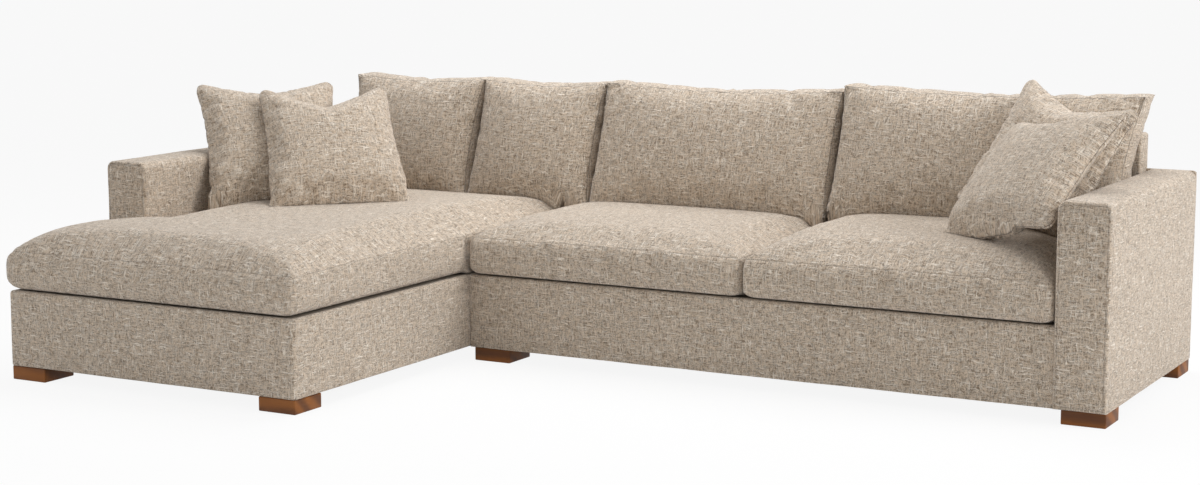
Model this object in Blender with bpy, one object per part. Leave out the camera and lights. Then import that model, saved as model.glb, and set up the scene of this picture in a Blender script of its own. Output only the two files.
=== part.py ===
"""Sectional sofa in two modules: a one-armed chaise on the left and a one-armed two-seat sofa.

The frame is +Z up, +X to the right seen from the front and +Y towards the back. The origin is on
the floor under the middle of the overall width and depth. Lengths are in metres.
"""
import math

import bmesh
import bpy
from mathutils import Matrix, Vector
from mathutils.bvhtree import BVHTree

# Overall sizes
overall_width = 3.165
chaise_width = 1.080
sofa_depth = 0.940
chaise_reach = 0.930
left_arm_reach = 0.465
arm_width = 0.155
arm_height = 0.635
back_height = 0.748
back_thickness = 0.090
base_top = 0.278
foot_height = 0.043
cushion_overhang = 0.010
border_setback = 0.012

# Clearances
fit_gap = 0.0003
cut_overrun = 0.004
rest_gap = 0.0008
lean_gap = 0.0012
weld_distance = 0.00001
same_place = 0.001

# Upholstered covers
wall = 0.018
border_top_radius = 0.020
arm_edge_radius = 0.026
back_edge_radius = 0.032
panel_edge_radius = 0.006
panel_corner_radius = 0.010
arc_steps = 4

# Timber frame
rail_thickness = 0.025
rail_arris = 0.002
rail_top = 0.250
board_thickness = 0.012
top_rail_depth = 0.024
block_width = 0.088
block_height = 0.045
block_corner_cut = 0.034
block_sink = 0.004
dust_cover_thickness = 0.0015

# Serpentine springs, their tie wires and end clips
wire_radius = 0.0019
wire_lift = 0.0005
spring_half_width = 0.024
spring_pitch = 0.075
spring_round = 0.014
tie_radius = 0.0013
tie_lift = 0.0004
tie_overrun = 0.007
tie_sides = 6
tie_shares = (0.3, 0.7)
clip_length = 0.018
clip_width = 0.011
clip_height = 0.0052
clip_setback = 0.001
springs_per_seat = 4
springs_in_chaise = 7

# Feet
foot_width = 0.130
foot_inset = 0.003
foot_arris = 0.003

# Hooked rails that join the modules
hook_sheet = 0.0025
hook_play = 0.0012
hook_length = 0.420
hook_overlap = 0.030
hook_bridge = 0.004
hook_tab = 0.030
hook_base_height = 0.130
hook_end_distance = 0.250

# Seat cushions
seat_edge_height = 0.124
seat_crown = 0.056
right_seat_crown = 0.078
chaise_crown = 0.074
seat_side_gap = 0.004
seat_draw_in = 0.005
seat_corner_drop = 0.010
seat_corner_draw = 0.008
seat_crown_power_across = 7.0
seat_crown_power_deep = 3.4
seat_side_power = 4.0
seat_front_power = 6.0
corner_power = 8.0
crown_join_power = 4.0
row_crowding_share = 0.55
seat_rows = (9, 8, 1)
chaise_rows = (7, 12, 1)
chaise_ear_rows = 2

# Back cushions
back_cushion_height = 0.395
back_cushion_edge = 0.112
back_cushion_lean = math.radians(20.0)
back_cushion_crown = 0.046
back_cushion_rear_crown = 0.014
back_cushion_draw_in = 0.011
back_cushion_top_dip = 0.012
back_cushion_gap = 0.003
back_cushion_front = 0.600
back_cushion_spill = 0.028
back_cushion_power = 2.4
back_cushion_side_power = 3.0
back_cushion_dip_power = 4.0
back_cushion_rows = (9, 1, 7)
joint_reveal = 0.002
back_row_shares = (0.0, 0.182, 0.354, 0.6625, 1.0)

# Throw pillows
pillow_width = 0.490
pillow_height = 0.450
pillow_front_fill = 0.070
pillow_rear_fill = 0.032
pillow_seam_half_thickness = 0.006
pillow_draw_in = 0.024
pillow_foot_draw_in = 0.008
pillow_fill_power = 0.62
pillow_hump_power = 2.6
pillow_chop_power = 3.0
pillow_pinch_share = 0.5
pillow_chop_reach_share = 0.85
pillow_rows = (9, 1, 7)

# How the loose cushions are laid down
settle_reach = 0.300
near_reach = 0.016
settle_rounds = 4
sample_shares = (0.25, 0.5, 0.75)
search_share = 1.5

# Where each throw pillow stands before it settles: its foot's way in from the arm and back from
# the sofa's front, the front pillow's further step, turn, lean, roll and the dent in its top, and
# the way that each pair is pushed back
left_pair_turn = math.radians(48.0)
left_pair_push = math.radians(48.0)
left_rear_lean = math.radians(34.0)
left_front_lean = math.radians(37.0)
left_rear_inward = 0.1855
left_rear_back = -0.008
left_step_inward = 0.180
left_step_back = 0.070
left_rear_chop = 0.020
left_front_chop = 0.055
right_rear_turn = math.radians(-20.0)
right_front_turn = math.radians(-40.0)
right_pair_push = math.radians(0.0)
right_rear_lean = math.radians(31.0)
right_front_lean = math.radians(46.0)
right_rear_roll = math.radians(11.0)
right_front_roll = math.radians(-12.0)
right_rear_inward = 0.290
right_rear_back = 0.36
right_step_inward = -0.055
right_step_back = -0.25
right_rear_chop = 0.040
right_front_chop = 0.012

# Places that follow from the sizes
x_left = -overall_width / 2
x_right = overall_width / 2
x_left_arm = x_left + arm_width
x_right_arm = x_right - arm_width
x_joint = x_left + chaise_width
module_gap = 4 * hook_sheet + 3 * hook_play
x_sofa = x_joint + module_gap
x_seam = (x_joint + x_right_arm) / 2
overall_depth = chaise_reach + sofa_depth + cushion_overhang
y_back = overall_depth / 2
y_sofa = y_back - sofa_depth
y_chaise = y_sofa - chaise_reach
y_left_arm = y_sofa - left_arm_reach
y_inside_back = y_back - back_thickness
y_cover_end = y_back - wall - fit_gap
base_bottom = foot_height + fit_gap
rail_bottom = base_bottom + dust_cover_thickness + fit_gap
rail_inset = wall + fit_gap
wire_z = rail_top + fit_gap + wire_lift + wire_radius
clip_top = rail_top + fit_gap + clip_height
deck_bottom = clip_top + fit_gap
seat_bottom = base_top + fit_gap
seat_edge_top = seat_bottom + seat_edge_height
crown_top = seat_edge_top + max(seat_crown, right_seat_crown, chaise_crown)
left_rear_foot = (x_left_arm + left_rear_inward, y_sofa + left_rear_back)
left_front_foot = (left_rear_foot[0] + left_step_inward, left_rear_foot[1] + left_step_back)
right_rear_foot = (x_right_arm - right_rear_inward, y_sofa + right_rear_back)
right_front_foot = (right_rear_foot[0] - right_step_inward, right_rear_foot[1] + right_step_back)
foot_centre_inset = foot_inset + foot_width / 2
spring_inset = rail_inset + rail_thickness - clip_width / 2 - clip_setback
block_inset = rail_inset + rail_thickness + fit_gap
block_top = rail_bottom + block_height

FABRIC = ("woven_fabric", (0.60, 0.52, 0.43), 0.95, 0.0)
TIMBER = ("frame_timber", (0.68, 0.52, 0.34), 0.75, 0.0)
WALNUT = ("foot_walnut", (0.30, 0.14, 0.06), 0.45, 0.0)
STEEL = ("spring_steel", (0.45, 0.46, 0.48), 0.35, 1.0)
DECKING = ("deck_cloth", (0.42, 0.38, 0.33), 0.9, 0.0)
DUST_CLOTH = ("dust_cloth", (0.05, 0.05, 0.05), 0.9, 0.0)


def clear_scene():
    """Empty the scene without closing the file that the script runs from."""
    for old in list(bpy.data.objects):
        bpy.data.objects.remove(old, do_unlink=True)


def material(spec, name):
    """Give each sub-part a material of its own from one of the named finishes."""
    label, colour, roughness, metallic = spec
    made = bpy.data.materials.new(f"{name}_{label}")
    made.use_nodes = True
    shader = made.node_tree.nodes["Principled BSDF"]
    shader.inputs["Base Color"].default_value = (*colour, 1.0)
    shader.inputs["Roughness"].default_value = roughness
    shader.inputs["Metallic"].default_value = metallic
    made.diffuse_color = (*colour, 1.0)
    return made


def empty(name, place):
    """Add an empty that a module's pieces hang from."""
    holder = bpy.data.objects.new(name, None)
    holder.location = place
    bpy.context.scene.collection.objects.link(holder)
    return holder


def piece(name, mesh_source, finish, holder):
    """Turn a world-space bmesh into a named object whose origin is the middle of its box's foot."""
    lows = [min(v.co[i] for v in mesh_source.verts) for i in range(3)]
    highs = [max(v.co[i] for v in mesh_source.verts) for i in range(3)]
    origin = Vector(((lows[0] + highs[0]) / 2, (lows[1] + highs[1]) / 2, lows[2]))
    bmesh.ops.translate(mesh_source, verts=mesh_source.verts, vec=-origin)
    bmesh.ops.recalc_face_normals(mesh_source, faces=mesh_source.faces)
    mesh = bpy.data.meshes.new(name)
    mesh_source.to_mesh(mesh)
    mesh_source.free()
    made = bpy.data.objects.new(name, mesh)
    made.data.materials.append(material(finish, name))
    made.parent = holder
    made.location = origin - holder.location
    bpy.context.scene.collection.objects.link(made)
    return made


def box(low, high):
    """Start a bmesh with one box between two corners."""
    block = bmesh.new()
    add_box(block, low, high)
    return block


def add_box(target, low, high):
    """Add a box between two corners and return its vertices."""
    low, high = Vector(low), Vector(high)
    place = Matrix.Translation((low + high) / 2) @ Matrix.Diagonal((*(high - low), 1.0))
    return bmesh.ops.create_cube(target, size=1.0, matrix=place)["verts"]


def soften(target, radius, segments, keep=None):
    """Bevel the edges of a bmesh, or only those that keep() picks."""
    edges = [e for e in target.edges if keep is None or keep(e)]
    bmesh.ops.bevel(target, geom=edges, offset=radius, segments=segments, profile=0.5,
                    affect="EDGES", material=-1, clamp_overlap=True)


def board(name, low, high, holder, finish=TIMBER, arris=rail_arris):
    """A sawn board with its sharp edges taken off."""
    made = box(low, high)
    soften(made, arris, 1)
    return piece(name, made, finish, holder)


def extrude_outline(outline, axis, start, end):
    """Extrude a closed outline of (a, b) points along a world axis.

    The outline's plane is YZ for axis 0, XZ for axis 1 and XY for axis 2.
    """
    made = bmesh.new()
    add_outline(made, outline, axis, start, end)
    return made


def add_outline(target, outline, axis, start, end):
    """Add one extruded outline to a bmesh."""
    def spot(a, b, c):
        return ((c, a, b), (a, c, b), (a, b, c))[axis]
    ring = [target.verts.new(spot(a, b, start)) for a, b in outline]
    face = target.faces.new(ring)
    swept = bmesh.ops.extrude_face_region(target, geom=[face])["geom"]
    moved = [g for g in swept if isinstance(g, bmesh.types.BMVert)]
    bmesh.ops.translate(target, verts=moved, vec=spot(0, 0, end - start))
    return ring + moved


def arc(centre, radius, start_degrees, end_degrees, steps=arc_steps):
    """Points of an arc, both ends included."""
    points = []
    for i in range(steps + 1):
        angle = math.radians(start_degrees + (end_degrees - start_degrees) * i / steps)
        points.append((centre[0] + radius * math.cos(angle), centre[1] + radius * math.sin(angle)))
    return points


def combine(target, tool, operation):
    """Join a hidden mesh to a piece, or cut it out of one."""
    step = target.modifiers.new(operation.lower(), "BOOLEAN")
    step.operation = operation
    step.solver = "EXACT"
    step.object = tool


def hidden_tool(name, mesh_source):
    """Keep a mesh that cuts or joins another piece in the file, out of the model."""
    mesh = bpy.data.meshes.new(name)
    bmesh.ops.recalc_face_normals(mesh_source, faces=mesh_source.faces)
    mesh_source.to_mesh(mesh)
    mesh_source.free()
    made = bpy.data.objects.new(name, mesh)
    made.hide_render = True
    made.display_type = "WIRE"
    bpy.context.scene.collection.objects.link(made)
    return made


def add_rod(target, start, end, radius, sides):
    """Add a round bar between two points."""
    start, end = Vector(start), Vector(end)
    run = end - start
    turn = run.to_track_quat("Z", "Y").to_matrix().to_4x4()
    place = Matrix.Translation((start + end) / 2) @ turn
    bmesh.ops.create_cone(target, cap_ends=True, segments=sides, radius1=radius, radius2=radius,
                          depth=run.length, matrix=place)


def corner_places(x_low, x_high, y_low, y_high, inset):
    """The four corner spots of a module, with the signs that point to its middle."""
    return [(x_low + inset, y_low + inset, 1, 1), (x_high - inset, y_low + inset, -1, 1),
            (x_low + inset, y_high - inset, 1, -1), (x_high - inset, y_high - inset, -1, -1)]


def build_feet(prefix, corners, holder):
    """A low square foot under each corner of a module."""
    half = foot_width / 2
    for place, (x, y, _, _) in zip(("front_left", "front_right", "rear_left", "rear_right"), corners):
        board(f"{prefix}_foot_{place}", (x - half, y - half, 0), (x + half, y + half, foot_height),
              holder, WALNUT, foot_arris)


def add_glue_blocks(rail, name, corners):
    """Join the two glue blocks that a foot screws into to the rail that carries them."""
    blocks = bmesh.new()
    step = block_inset - foot_centre_inset
    for x, y, sx, sy in corners:
        bx, by = x + sx * step, y + sy * step
        back_y = by - sy * (fit_gap + block_sink)
        far_x, far_y = bx + sx * block_width, by + sy * block_width
        add_outline(blocks, [(bx, back_y), (far_x, back_y), (far_x, far_y - sy * block_corner_cut),
                             (far_x - sx * block_corner_cut, far_y), (bx, far_y)],
                    2, rail_bottom + rail_arris, block_top)
    combine(rail, hidden_tool(name, blocks), "UNION")


def serpentine(length):
    """Points of one spring from 0 to length: crossing bars joined by bends on alternate sides."""
    bends = max(2, round(length / spring_pitch))
    pitch = length / bends
    shoulder = spring_half_width - spring_round
    points = [(0.0, -spring_half_width)]
    for i in range(bends):
        side = 1 if i % 2 == 0 else -1
        points.append((i * pitch, side * shoulder))
        points.append(((i + 0.5) * pitch, side * spring_half_width))
        points.append(((i + 1) * pitch, side * shoulder))
    points.append((length, -side * spring_half_width))
    return points


def spring_mesh(name, rows, axis, start, end):
    """Serpentine wires along an axis, one for each row, as one mesh."""
    curve = bpy.data.curves.new(name, "CURVE")
    curve.dimensions = "3D"
    curve.bevel_depth = wire_radius
    curve.bevel_resolution = 0
    curve.use_fill_caps = True
    for row in rows:
        points = serpentine(end - start)
        spline = curve.splines.new("POLY")
        spline.points.add(len(points) - 1)
        for slot, (along, across) in zip(spline.points, points):
            spot = (start + along, row + across) if axis == 0 else (row + across, start + along)
            slot.co = (*spot, wire_z, 1.0)
    holder = bpy.data.objects.new(name, curve)
    mesh = bpy.data.meshes.new_from_object(holder)
    bpy.data.objects.remove(holder)
    made = bmesh.new()
    made.from_mesh(mesh)
    bpy.data.meshes.remove(mesh)
    bmesh.ops.remove_doubles(made, verts=made.verts, dist=weld_distance)
    return made


def build_springs(name, rows, axis, start, end, holder):
    """A spring unit: serpentine springs, the tie wires that cross them and their end clips."""
    def spot(along, across, up):
        return (along, across, up) if axis == 0 else (across, along, up)
    unit = piece(name, spring_mesh(name, rows, axis, start, end), STEEL, holder)
    ties = bmesh.new()
    reach = spring_half_width + tie_overrun
    low, high = rows[0] - reach, rows[-1] + reach
    for share in tie_shares:
        along = start + share * (end - start)
        add_rod(ties, spot(along, low, wire_z + tie_lift), spot(along, high, wire_z + tie_lift),
                tie_radius, tie_sides)
    combine(unit, hidden_tool(f"{name}_ties", ties), "UNION")
    clips = bmesh.new()
    for row in rows:
        for place in (start, end):
            near = spot(place - clip_width / 2, row - clip_length / 2, rail_top + fit_gap)
            far = spot(place + clip_width / 2, row + clip_length / 2, clip_top)
            add_box(clips, near, far)
    combine(unit, hidden_tool(f"{name}_clips", clips), "UNION")


def evenly(count, low, high):
    """Middles of equal bays between two limits."""
    bay = (high - low) / count
    return [low + bay * (i + 0.5) for i in range(count)]


def rails(prefix, x_low, x_high, y_low, y_high, holder):
    """The four outer rails of a module's seat frame, butted at the corners."""
    x0, x1 = x_low + rail_inset, x_high - rail_inset
    y0, y1 = y_low + rail_inset, y_high - rail_inset
    made = {}
    made["front"] = board(f"{prefix}_front_rail", (x0, y0, rail_bottom),
                          (x1, y0 + rail_thickness, rail_top), holder)
    made["back"] = board(f"{prefix}_back_rail", (x0, y1 - rail_thickness, rail_bottom),
                         (x1, y1, rail_top), holder)
    inner = (y0 + rail_thickness + fit_gap, y1 - rail_thickness - fit_gap)
    made["left"] = board(f"{prefix}_left_rail", (x0, inner[0], rail_bottom),
                         (x0 + rail_thickness, inner[1], rail_top), holder)
    made["right"] = board(f"{prefix}_right_rail", (x1 - rail_thickness, inner[0], rail_bottom),
                          (x1, inner[1], rail_top), holder)
    return made


def border(name, low, high, holder, out_axis, top=border_top_radius):
    """A padded border panel: its top outer edge is rounder than its others."""
    made = box(low, high)
    axis, sign = out_axis
    face = low[axis] if sign < 0 else high[axis]

    def outer(edge):
        return all(abs(v.co[axis] - face) < fit_gap for v in edge.verts)

    def outer_top(edge):
        return outer(edge) and all(abs(v.co[2] - high[2]) < fit_gap for v in edge.verts)
    soften(made, min(top, wall - fit_gap), 3, outer_top)
    soften(made, panel_edge_radius, 1, lambda e: outer(e) and not outer_top(e))
    return piece(name, made, FABRIC, holder)


def arm_outline(x_out, x_in, floor_out, floor_in):
    """Section of an arm's padded cover: over the top and down both sides."""
    sign = 1 if x_out > x_in else -1
    r = arm_edge_radius
    top = arm_height
    start, middle, end = (0, 90, 180) if sign > 0 else (180, 90, 0)
    points = [(x_out, floor_out)]
    points += arc((x_out - sign * r, top - r), r, start, middle)
    points += arc((x_in + sign * r, top - r), r, middle, end)
    points += [(x_in, floor_in), (x_in + sign * wall, floor_in), (x_in + sign * wall, top - wall),
               (x_out - sign * wall, top - wall), (x_out - sign * wall, floor_out)]
    return points


def arm_front_outline(x_out, x_in, floor):
    """Outline of an arm's front panel, with its two top corners rounded."""
    low, high = min(x_out, x_in), max(x_out, x_in)
    r = arm_edge_radius
    points = [(high, floor)]
    points += arc((high - r, arm_height - r), r, 0, 90)
    points += arc((low + r, arm_height - r), r, 90, 180)
    points.append((low, floor))
    return points


def build_arm(prefix, x_out, x_in, y_front, floor_front, holder):
    """An arm: padded cover, front panel, and the board and top rail inside."""
    sign = 1 if x_out > x_in else -1
    y_cover = y_front + wall + fit_gap
    cover = extrude_outline(arm_outline(x_out, x_in, base_bottom, deck_bottom), 1,
                            y_cover, y_cover_end)
    piece(f"{prefix}_cover", cover, FABRIC, holder)
    front = extrude_outline(arm_front_outline(x_out, x_in, floor_front), 1,
                            y_front, y_front + wall)
    soften(front, panel_edge_radius, 2,
           lambda e: all(abs(v.co[1] - y_front) < fit_gap for v in e.verts))
    piece(f"{prefix}_front_panel", front, FABRIC, holder)
    inside_out = x_out - sign * (wall + fit_gap)
    inside_in = x_in + sign * (wall + fit_gap)
    rail_under = arm_height - wall - fit_gap - top_rail_depth
    first, last = y_cover + fit_gap, y_cover_end - fit_gap
    near = inside_out - sign * board_thickness
    board(f"{prefix}_board", (min(inside_out, near), first, rail_top + fit_gap),
          (max(inside_out, near), last, rail_under - fit_gap), holder)
    board(f"{prefix}_top_rail", (min(inside_out, inside_in), first, rail_under),
          (max(inside_out, inside_in), last, rail_under + top_rail_depth), holder)


def build_back(prefix, x_low, x_high, panel_low, panel_high, arm_side, holder):
    """A module's back: inside cover with its ends, outside panel, board and top rail."""
    r = back_edge_radius
    outline = [(y_inside_back, deck_bottom)]
    outline += arc((y_inside_back + r, back_height - r), r, 180, 90)
    outline += [(y_cover_end, back_height), (y_cover_end, deck_bottom)]
    inside = piece(f"{prefix}_inside_back", extrude_outline(outline, 0, x_low, x_high), FABRIC, holder)
    cavity = box((x_low + wall, y_inside_back + wall, deck_bottom - cut_overrun),
                 (x_high - wall, y_cover_end + cut_overrun, back_height - wall))
    combine(inside, hidden_tool(f"{prefix}_back_cavity", cavity), "DIFFERENCE")
    build_outside_back(prefix, panel_low, panel_high, x_low, x_high, arm_side, holder)
    x0, x1 = x_low + wall + fit_gap, x_high - wall - fit_gap
    y1 = y_cover_end
    rail_under = back_height - wall - fit_gap - top_rail_depth
    board(f"{prefix}_back_board", (x0, y1 - board_thickness, rail_top + fit_gap),
          (x1, y1, rail_under - fit_gap), holder)
    board(f"{prefix}_back_top_rail", (x0, y_inside_back + wall + fit_gap, rail_under),
          (x1, y1, rail_under + top_rail_depth), holder)


def build_outside_back(prefix, panel_low, panel_high, x_low, x_high, arm_side, holder):
    """The flat rear panel, which steps down behind the arm."""
    r = panel_corner_radius
    ra = arm_edge_radius
    if arm_side > 0:
        outline = [(panel_low, base_bottom), (panel_high, base_bottom)]
        outline += arc((panel_high - ra, arm_height - ra), ra, 0, 90)
        outline += [(x_high, arm_height)]
        outline += arc((x_high - r, back_height - r), r, 0, 90)
        outline += arc((panel_low + r, back_height - r), r, 90, 180)
    else:
        outline = [(panel_low, base_bottom), (panel_high, base_bottom)]
        outline += arc((panel_high - r, back_height - r), r, 0, 90)
        outline += arc((x_low + r, back_height - r), r, 90, 180)
        outline += [(x_low, arm_height)]
        outline += arc((panel_low + ra, arm_height - ra), ra, 90, 180)
    made = extrude_outline(outline, 1, y_back - wall, y_back)
    soften(made, panel_edge_radius, 1,
           lambda e: all(abs(v.co[1] - y_back) < fit_gap for v in e.verts))
    piece(f"{prefix}_outside_back", made, FABRIC, holder)


def build_hooks():
    """Two hooked rails that drop over each other where the modules meet."""
    t = hook_sheet
    floor = hook_base_height
    top = floor + hook_bridge + fit_gap + hook_overlap + hook_bridge
    low_tip, high_tip = floor + hook_bridge + fit_gap, top - hook_bridge - fit_gap
    reach = 3 * t + 2 * hook_play - 2 * fit_gap
    y = y_back - hook_end_distance - hook_length
    a = x_joint + fit_gap
    b = a + reach
    down = extrude_outline([(a, floor + t), (a, top + hook_tab), (a + t, top + hook_tab), (a + t, top),
                            (b, top), (b, low_tip), (b - t, low_tip), (b - t, top - hook_bridge),
                            (a + t, top - hook_bridge), (a + t, floor + t)], 1, y, y + hook_length)
    piece("chaise_joining_hook", down, STEEL, chaise)
    a = x_sofa - fit_gap
    b = a - reach
    up = extrude_outline([(a, top - t), (a, floor - hook_tab), (a - t, floor - hook_tab), (a - t, floor),
                          (b, floor), (b, high_tip), (b + t, high_tip), (b + t, floor + hook_bridge),
                          (a - t, floor + hook_bridge), (a - t, top - t)], 1, y, y + hook_length)
    piece("sofa_joining_hook", up, STEEL, sofa)


def grid_block(size, cuts):
    """A box centred on its foot, cut into a grid, as a bmesh."""
    made = box((-size[0] / 2, -size[1] / 2, 0), (size[0] / 2, size[1] / 2, size[2]))
    for axis in range(3):
        along = [e for e in made.edges
                 if abs(e.verts[0].co[axis] - e.verts[1].co[axis]) > size[axis] - same_place]
        bmesh.ops.subdivide_edges(made, edges=along, cuts=cuts[axis], use_grid_fill=True)
    return made


def hump(t, power=2.0):
    """One at the middle of a span and zero at its ends, for t from -1 to 1."""
    return max(0.0, 1.0 - abs(t) ** power)


def crowd_rows(source):
    """Move the rows of a gridded block towards its sides, where the form turns fastest."""
    for axis in (0, 1):
        half = max(v.co[axis] for v in source.verts)
        for v in source.verts:
            t = v.co[axis] / half
            crowded = math.sin(math.pi * t / 2)
            v.co[axis] = half * (t + row_crowding_share * (crowded - t))


def crown_over(rectangles, x, y):
    """Share of the full crown at a spot on one or more rectangles that overlap in plan."""
    total = 0.0
    for x0, x1, y0, y1 in rectangles:
        u = (2 * x - x0 - x1) / (x1 - x0)
        v = (2 * y - y0 - y1) / (y1 - y0)
        share = hump(u, seat_crown_power_across) * hump(v, seat_crown_power_deep)
        total += share ** crown_join_power
    return min(1.0, total ** (1 / crown_join_power))


def shape_seat(source, rectangles, plan, full_crown):
    """Give a gridded seat block its crown, drawn-in sides and swelling boxing."""
    x0, x1, y0, y1 = plan
    for v in source.verts:
        x, y, z = v.co
        share_z = (z - seat_bottom) / seat_edge_height
        u = (2 * x - x0 - x1) / (x1 - x0)
        w = (2 * y - y0 - y1) / (y1 - y0)
        swell = hump(2 * share_z - 1)
        corner = abs(u * w) ** corner_power
        if abs(z - seat_edge_top) < same_place:
            v.co.z += full_crown * crown_over(rectangles, x, y) - seat_corner_drop * corner
        if abs(y - y0) < same_place:
            drawn = seat_draw_in - (seat_draw_in + cushion_overhang) * swell
            v.co.y += drawn * hump(u, seat_front_power) + seat_corner_draw * corner
        for side, edge_x in ((-1, x0), (1, x1)):
            if abs(x - edge_x) < same_place:
                drawn = seat_draw_in * hump(w, seat_side_power) * (1 - swell / 2)
                v.co.x -= side * (drawn + seat_corner_draw * corner)


def seat_cushion_mesh(plan, full_crown):
    """A plain boxed seat cushion on a rectangular plan."""
    x0, x1, y0, y1 = plan
    made = grid_block((x1 - x0, y1 - y0, seat_edge_height), seat_rows)
    crowd_rows(made)
    bmesh.ops.translate(made, vec=((x0 + x1) / 2, (y0 + y1) / 2, seat_bottom), verts=made.verts)
    shape_seat(made, [plan], plan, full_crown)
    return made


def chaise_cushion_mesh(plan, notch_x, notch_y):
    """The chaise's long cushion, whose front end widens in front of the arm."""
    x0, x1, y0, y1 = plan
    made = grid_block((x1 - notch_x, y1 - y0, seat_edge_height), chaise_rows)
    crowd_rows(made)
    bmesh.ops.translate(made, vec=((notch_x + x1) / 2, (y0 + y1) / 2, seat_bottom), verts=made.verts)
    nearest = min({v.co.y for v in made.verts}, key=lambda y: abs(y - notch_y))
    for v in made.verts:
        if abs(v.co.y - nearest) < same_place:
            v.co.y = notch_y
    for step in range(chaise_ear_rows):
        edge_x = min(v.co.x for v in made.verts)
        side = [f for f in made.faces if all(abs(v.co.x - edge_x) < same_place for v in f.verts)
                and f.calc_center_median().y < notch_y]
        swept = bmesh.ops.extrude_face_region(made, geom=side)["geom"]
        moved = [g for g in swept if isinstance(g, bmesh.types.BMVert)]
        bmesh.ops.translate(made, verts=moved, vec=((x0 - notch_x) / chaise_ear_rows, 0, 0))
        bmesh.ops.delete(made, geom=side, context="FACES")
    shape_seat(made, [(notch_x, x1, y0, y1), (x0, x1, y0, notch_y)], plan, chaise_crown)
    return made


def back_cushion_mesh(x0, x1, spill_side):
    """A boxed back cushion that leans, with ears at its top corners, at its first place.

    The side named by spill_side, -1 or 1, stands over an arm and spills out above it.
    """
    made = grid_block((x1 - x0, back_cushion_edge, back_cushion_height), back_cushion_rows)
    half_w, half_t = (x1 - x0) / 2, back_cushion_edge / 2
    slope = math.tan(back_cushion_lean)
    clear_share = 2 * (arm_height + back_cushion_spill - crown_top) / back_cushion_height - 1
    for v in made.verts:
        u = v.co.x / half_w
        s = 2 * v.co.z / back_cushion_height - 1
        fill = hump(u, back_cushion_power) * hump(s, back_cushion_power)
        x = v.co.x - u * abs(u) * back_cushion_draw_in * hump(s, back_cushion_side_power)
        y = v.co.y
        if y < same_place - half_t:
            y -= back_cushion_crown * fill
        if y > half_t - same_place:
            y += back_cushion_rear_crown * fill
        z = v.co.z
        if s > 0:
            z -= back_cushion_top_dip * hump(u) * s ** back_cushion_dip_power
        if s > clear_share:
            out = max(0.0, u * spill_side) * (s - clear_share) / (1 - clear_share)
            x += spill_side * back_cushion_spill * out
        v.co = (x + (x0 + x1) / 2, y + y_sofa + back_cushion_front + half_t + slope * z,
                crown_top + z)
    return made


def pillow_mesh(foot, turn, lean, roll, chop):
    """A knife-edged square pillow with a dented top, rolled, leaned back and turned on its foot."""
    thickness = 2 * pillow_seam_half_thickness
    made = grid_block((pillow_width, thickness, pillow_height), pillow_rows)
    for v in made.verts:
        u, s = 2 * v.co.x / pillow_width, 2 * v.co.z / pillow_height - 1
        share_y = v.co.y / thickness
        fill = (hump(u, pillow_hump_power) * hump(s, pillow_hump_power)) ** pillow_fill_power
        front = -pillow_seam_half_thickness - pillow_front_fill * fill
        rear = pillow_seam_half_thickness + pillow_rear_fill * fill
        dent = chop * ((s + 1) / 2) ** pillow_chop_power
        x = u * (pillow_width / 2 - pillow_draw_in * hump(s) - pillow_pinch_share * dent)
        draw_in = pillow_draw_in if s > 0 else pillow_foot_draw_in
        z = s * (pillow_height / 2 - draw_in * hump(u)) + pillow_height / 2
        z -= dent * max(0.0, 1 - abs(u) / pillow_chop_reach_share)
        v.co = (x, (front + rear) / 2 + share_y * (rear - front), z)
    place = Matrix.Translation((*foot, crown_top)) @ Matrix.Rotation(turn, 4, "Z")
    place = place @ Matrix.Rotation(-lean, 4, "X") @ Matrix.Rotation(roll, 4, "Y")
    bmesh.ops.transform(made, matrix=place, verts=made.verts)
    return made


def tree_of(meshes):
    """A search tree over several world-space bmeshes."""
    points, faces = [], []
    for mesh in meshes:
        base = len(points)
        mesh.verts.index_update()
        points += [v.co.copy() for v in mesh.verts]
        faces += [[base + v.index for v in f.verts] for f in mesh.faces]
    return BVHTree.FromPolygons(points, faces, epsilon=0.0)


def world_mesh(target):
    """A world-space bmesh of a finished object."""
    made = bmesh.new()
    made.from_mesh(target.data)
    place = Matrix.Translation(target.location + target.parent.location)
    bmesh.ops.transform(made, matrix=place, verts=made.verts)
    return made


def edge_samples(mesh):
    """The vertices of a mesh and three spots along each of its edges."""
    spots = [v.co.copy() for v in mesh.verts]
    for e in mesh.edges:
        a, b = e.verts
        spots += [a.co.lerp(b.co, share) for share in sample_shares]
    return spots


def room_ahead(mover, standers, direction, reach):
    """How far a mesh can move along a direction before it meets the standing meshes."""
    heading = Vector(direction).normalized()
    ahead = tree_of(standers)
    behind = tree_of([mover])
    room = reach
    setback = heading * reach / 2
    for spot in edge_samples(mover):
        hit = ahead.ray_cast(spot - setback, heading, search_share * reach)
        if hit[0] is not None:
            room = min(room, hit[3] - reach / 2)
    for mesh in standers:
        for spot in edge_samples(mesh):
            hit = behind.ray_cast(spot + setback, -heading, search_share * reach)
            if hit[0] is not None:
                room = min(room, hit[3] - reach / 2)
    return room


def shift(mesh, direction, distance):
    """Move a mesh along a direction."""
    bmesh.ops.translate(mesh, verts=mesh.verts, vec=Vector(direction).normalized() * distance)


def settle(mover, rests, stops, back_way):
    """Lower a mesh onto what it rests on and push it back against what stops it."""
    down = (0, 0, -1)
    for _ in range(settle_rounds):
        shift(mover, down, room_ahead(mover, rests, down, settle_reach) - rest_gap)
        shift(mover, back_way, room_ahead(mover, stops, back_way, settle_reach) - lean_gap)
    shift(mover, down, room_ahead(mover, rests + stops, down, near_reach) - rest_gap)


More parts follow.
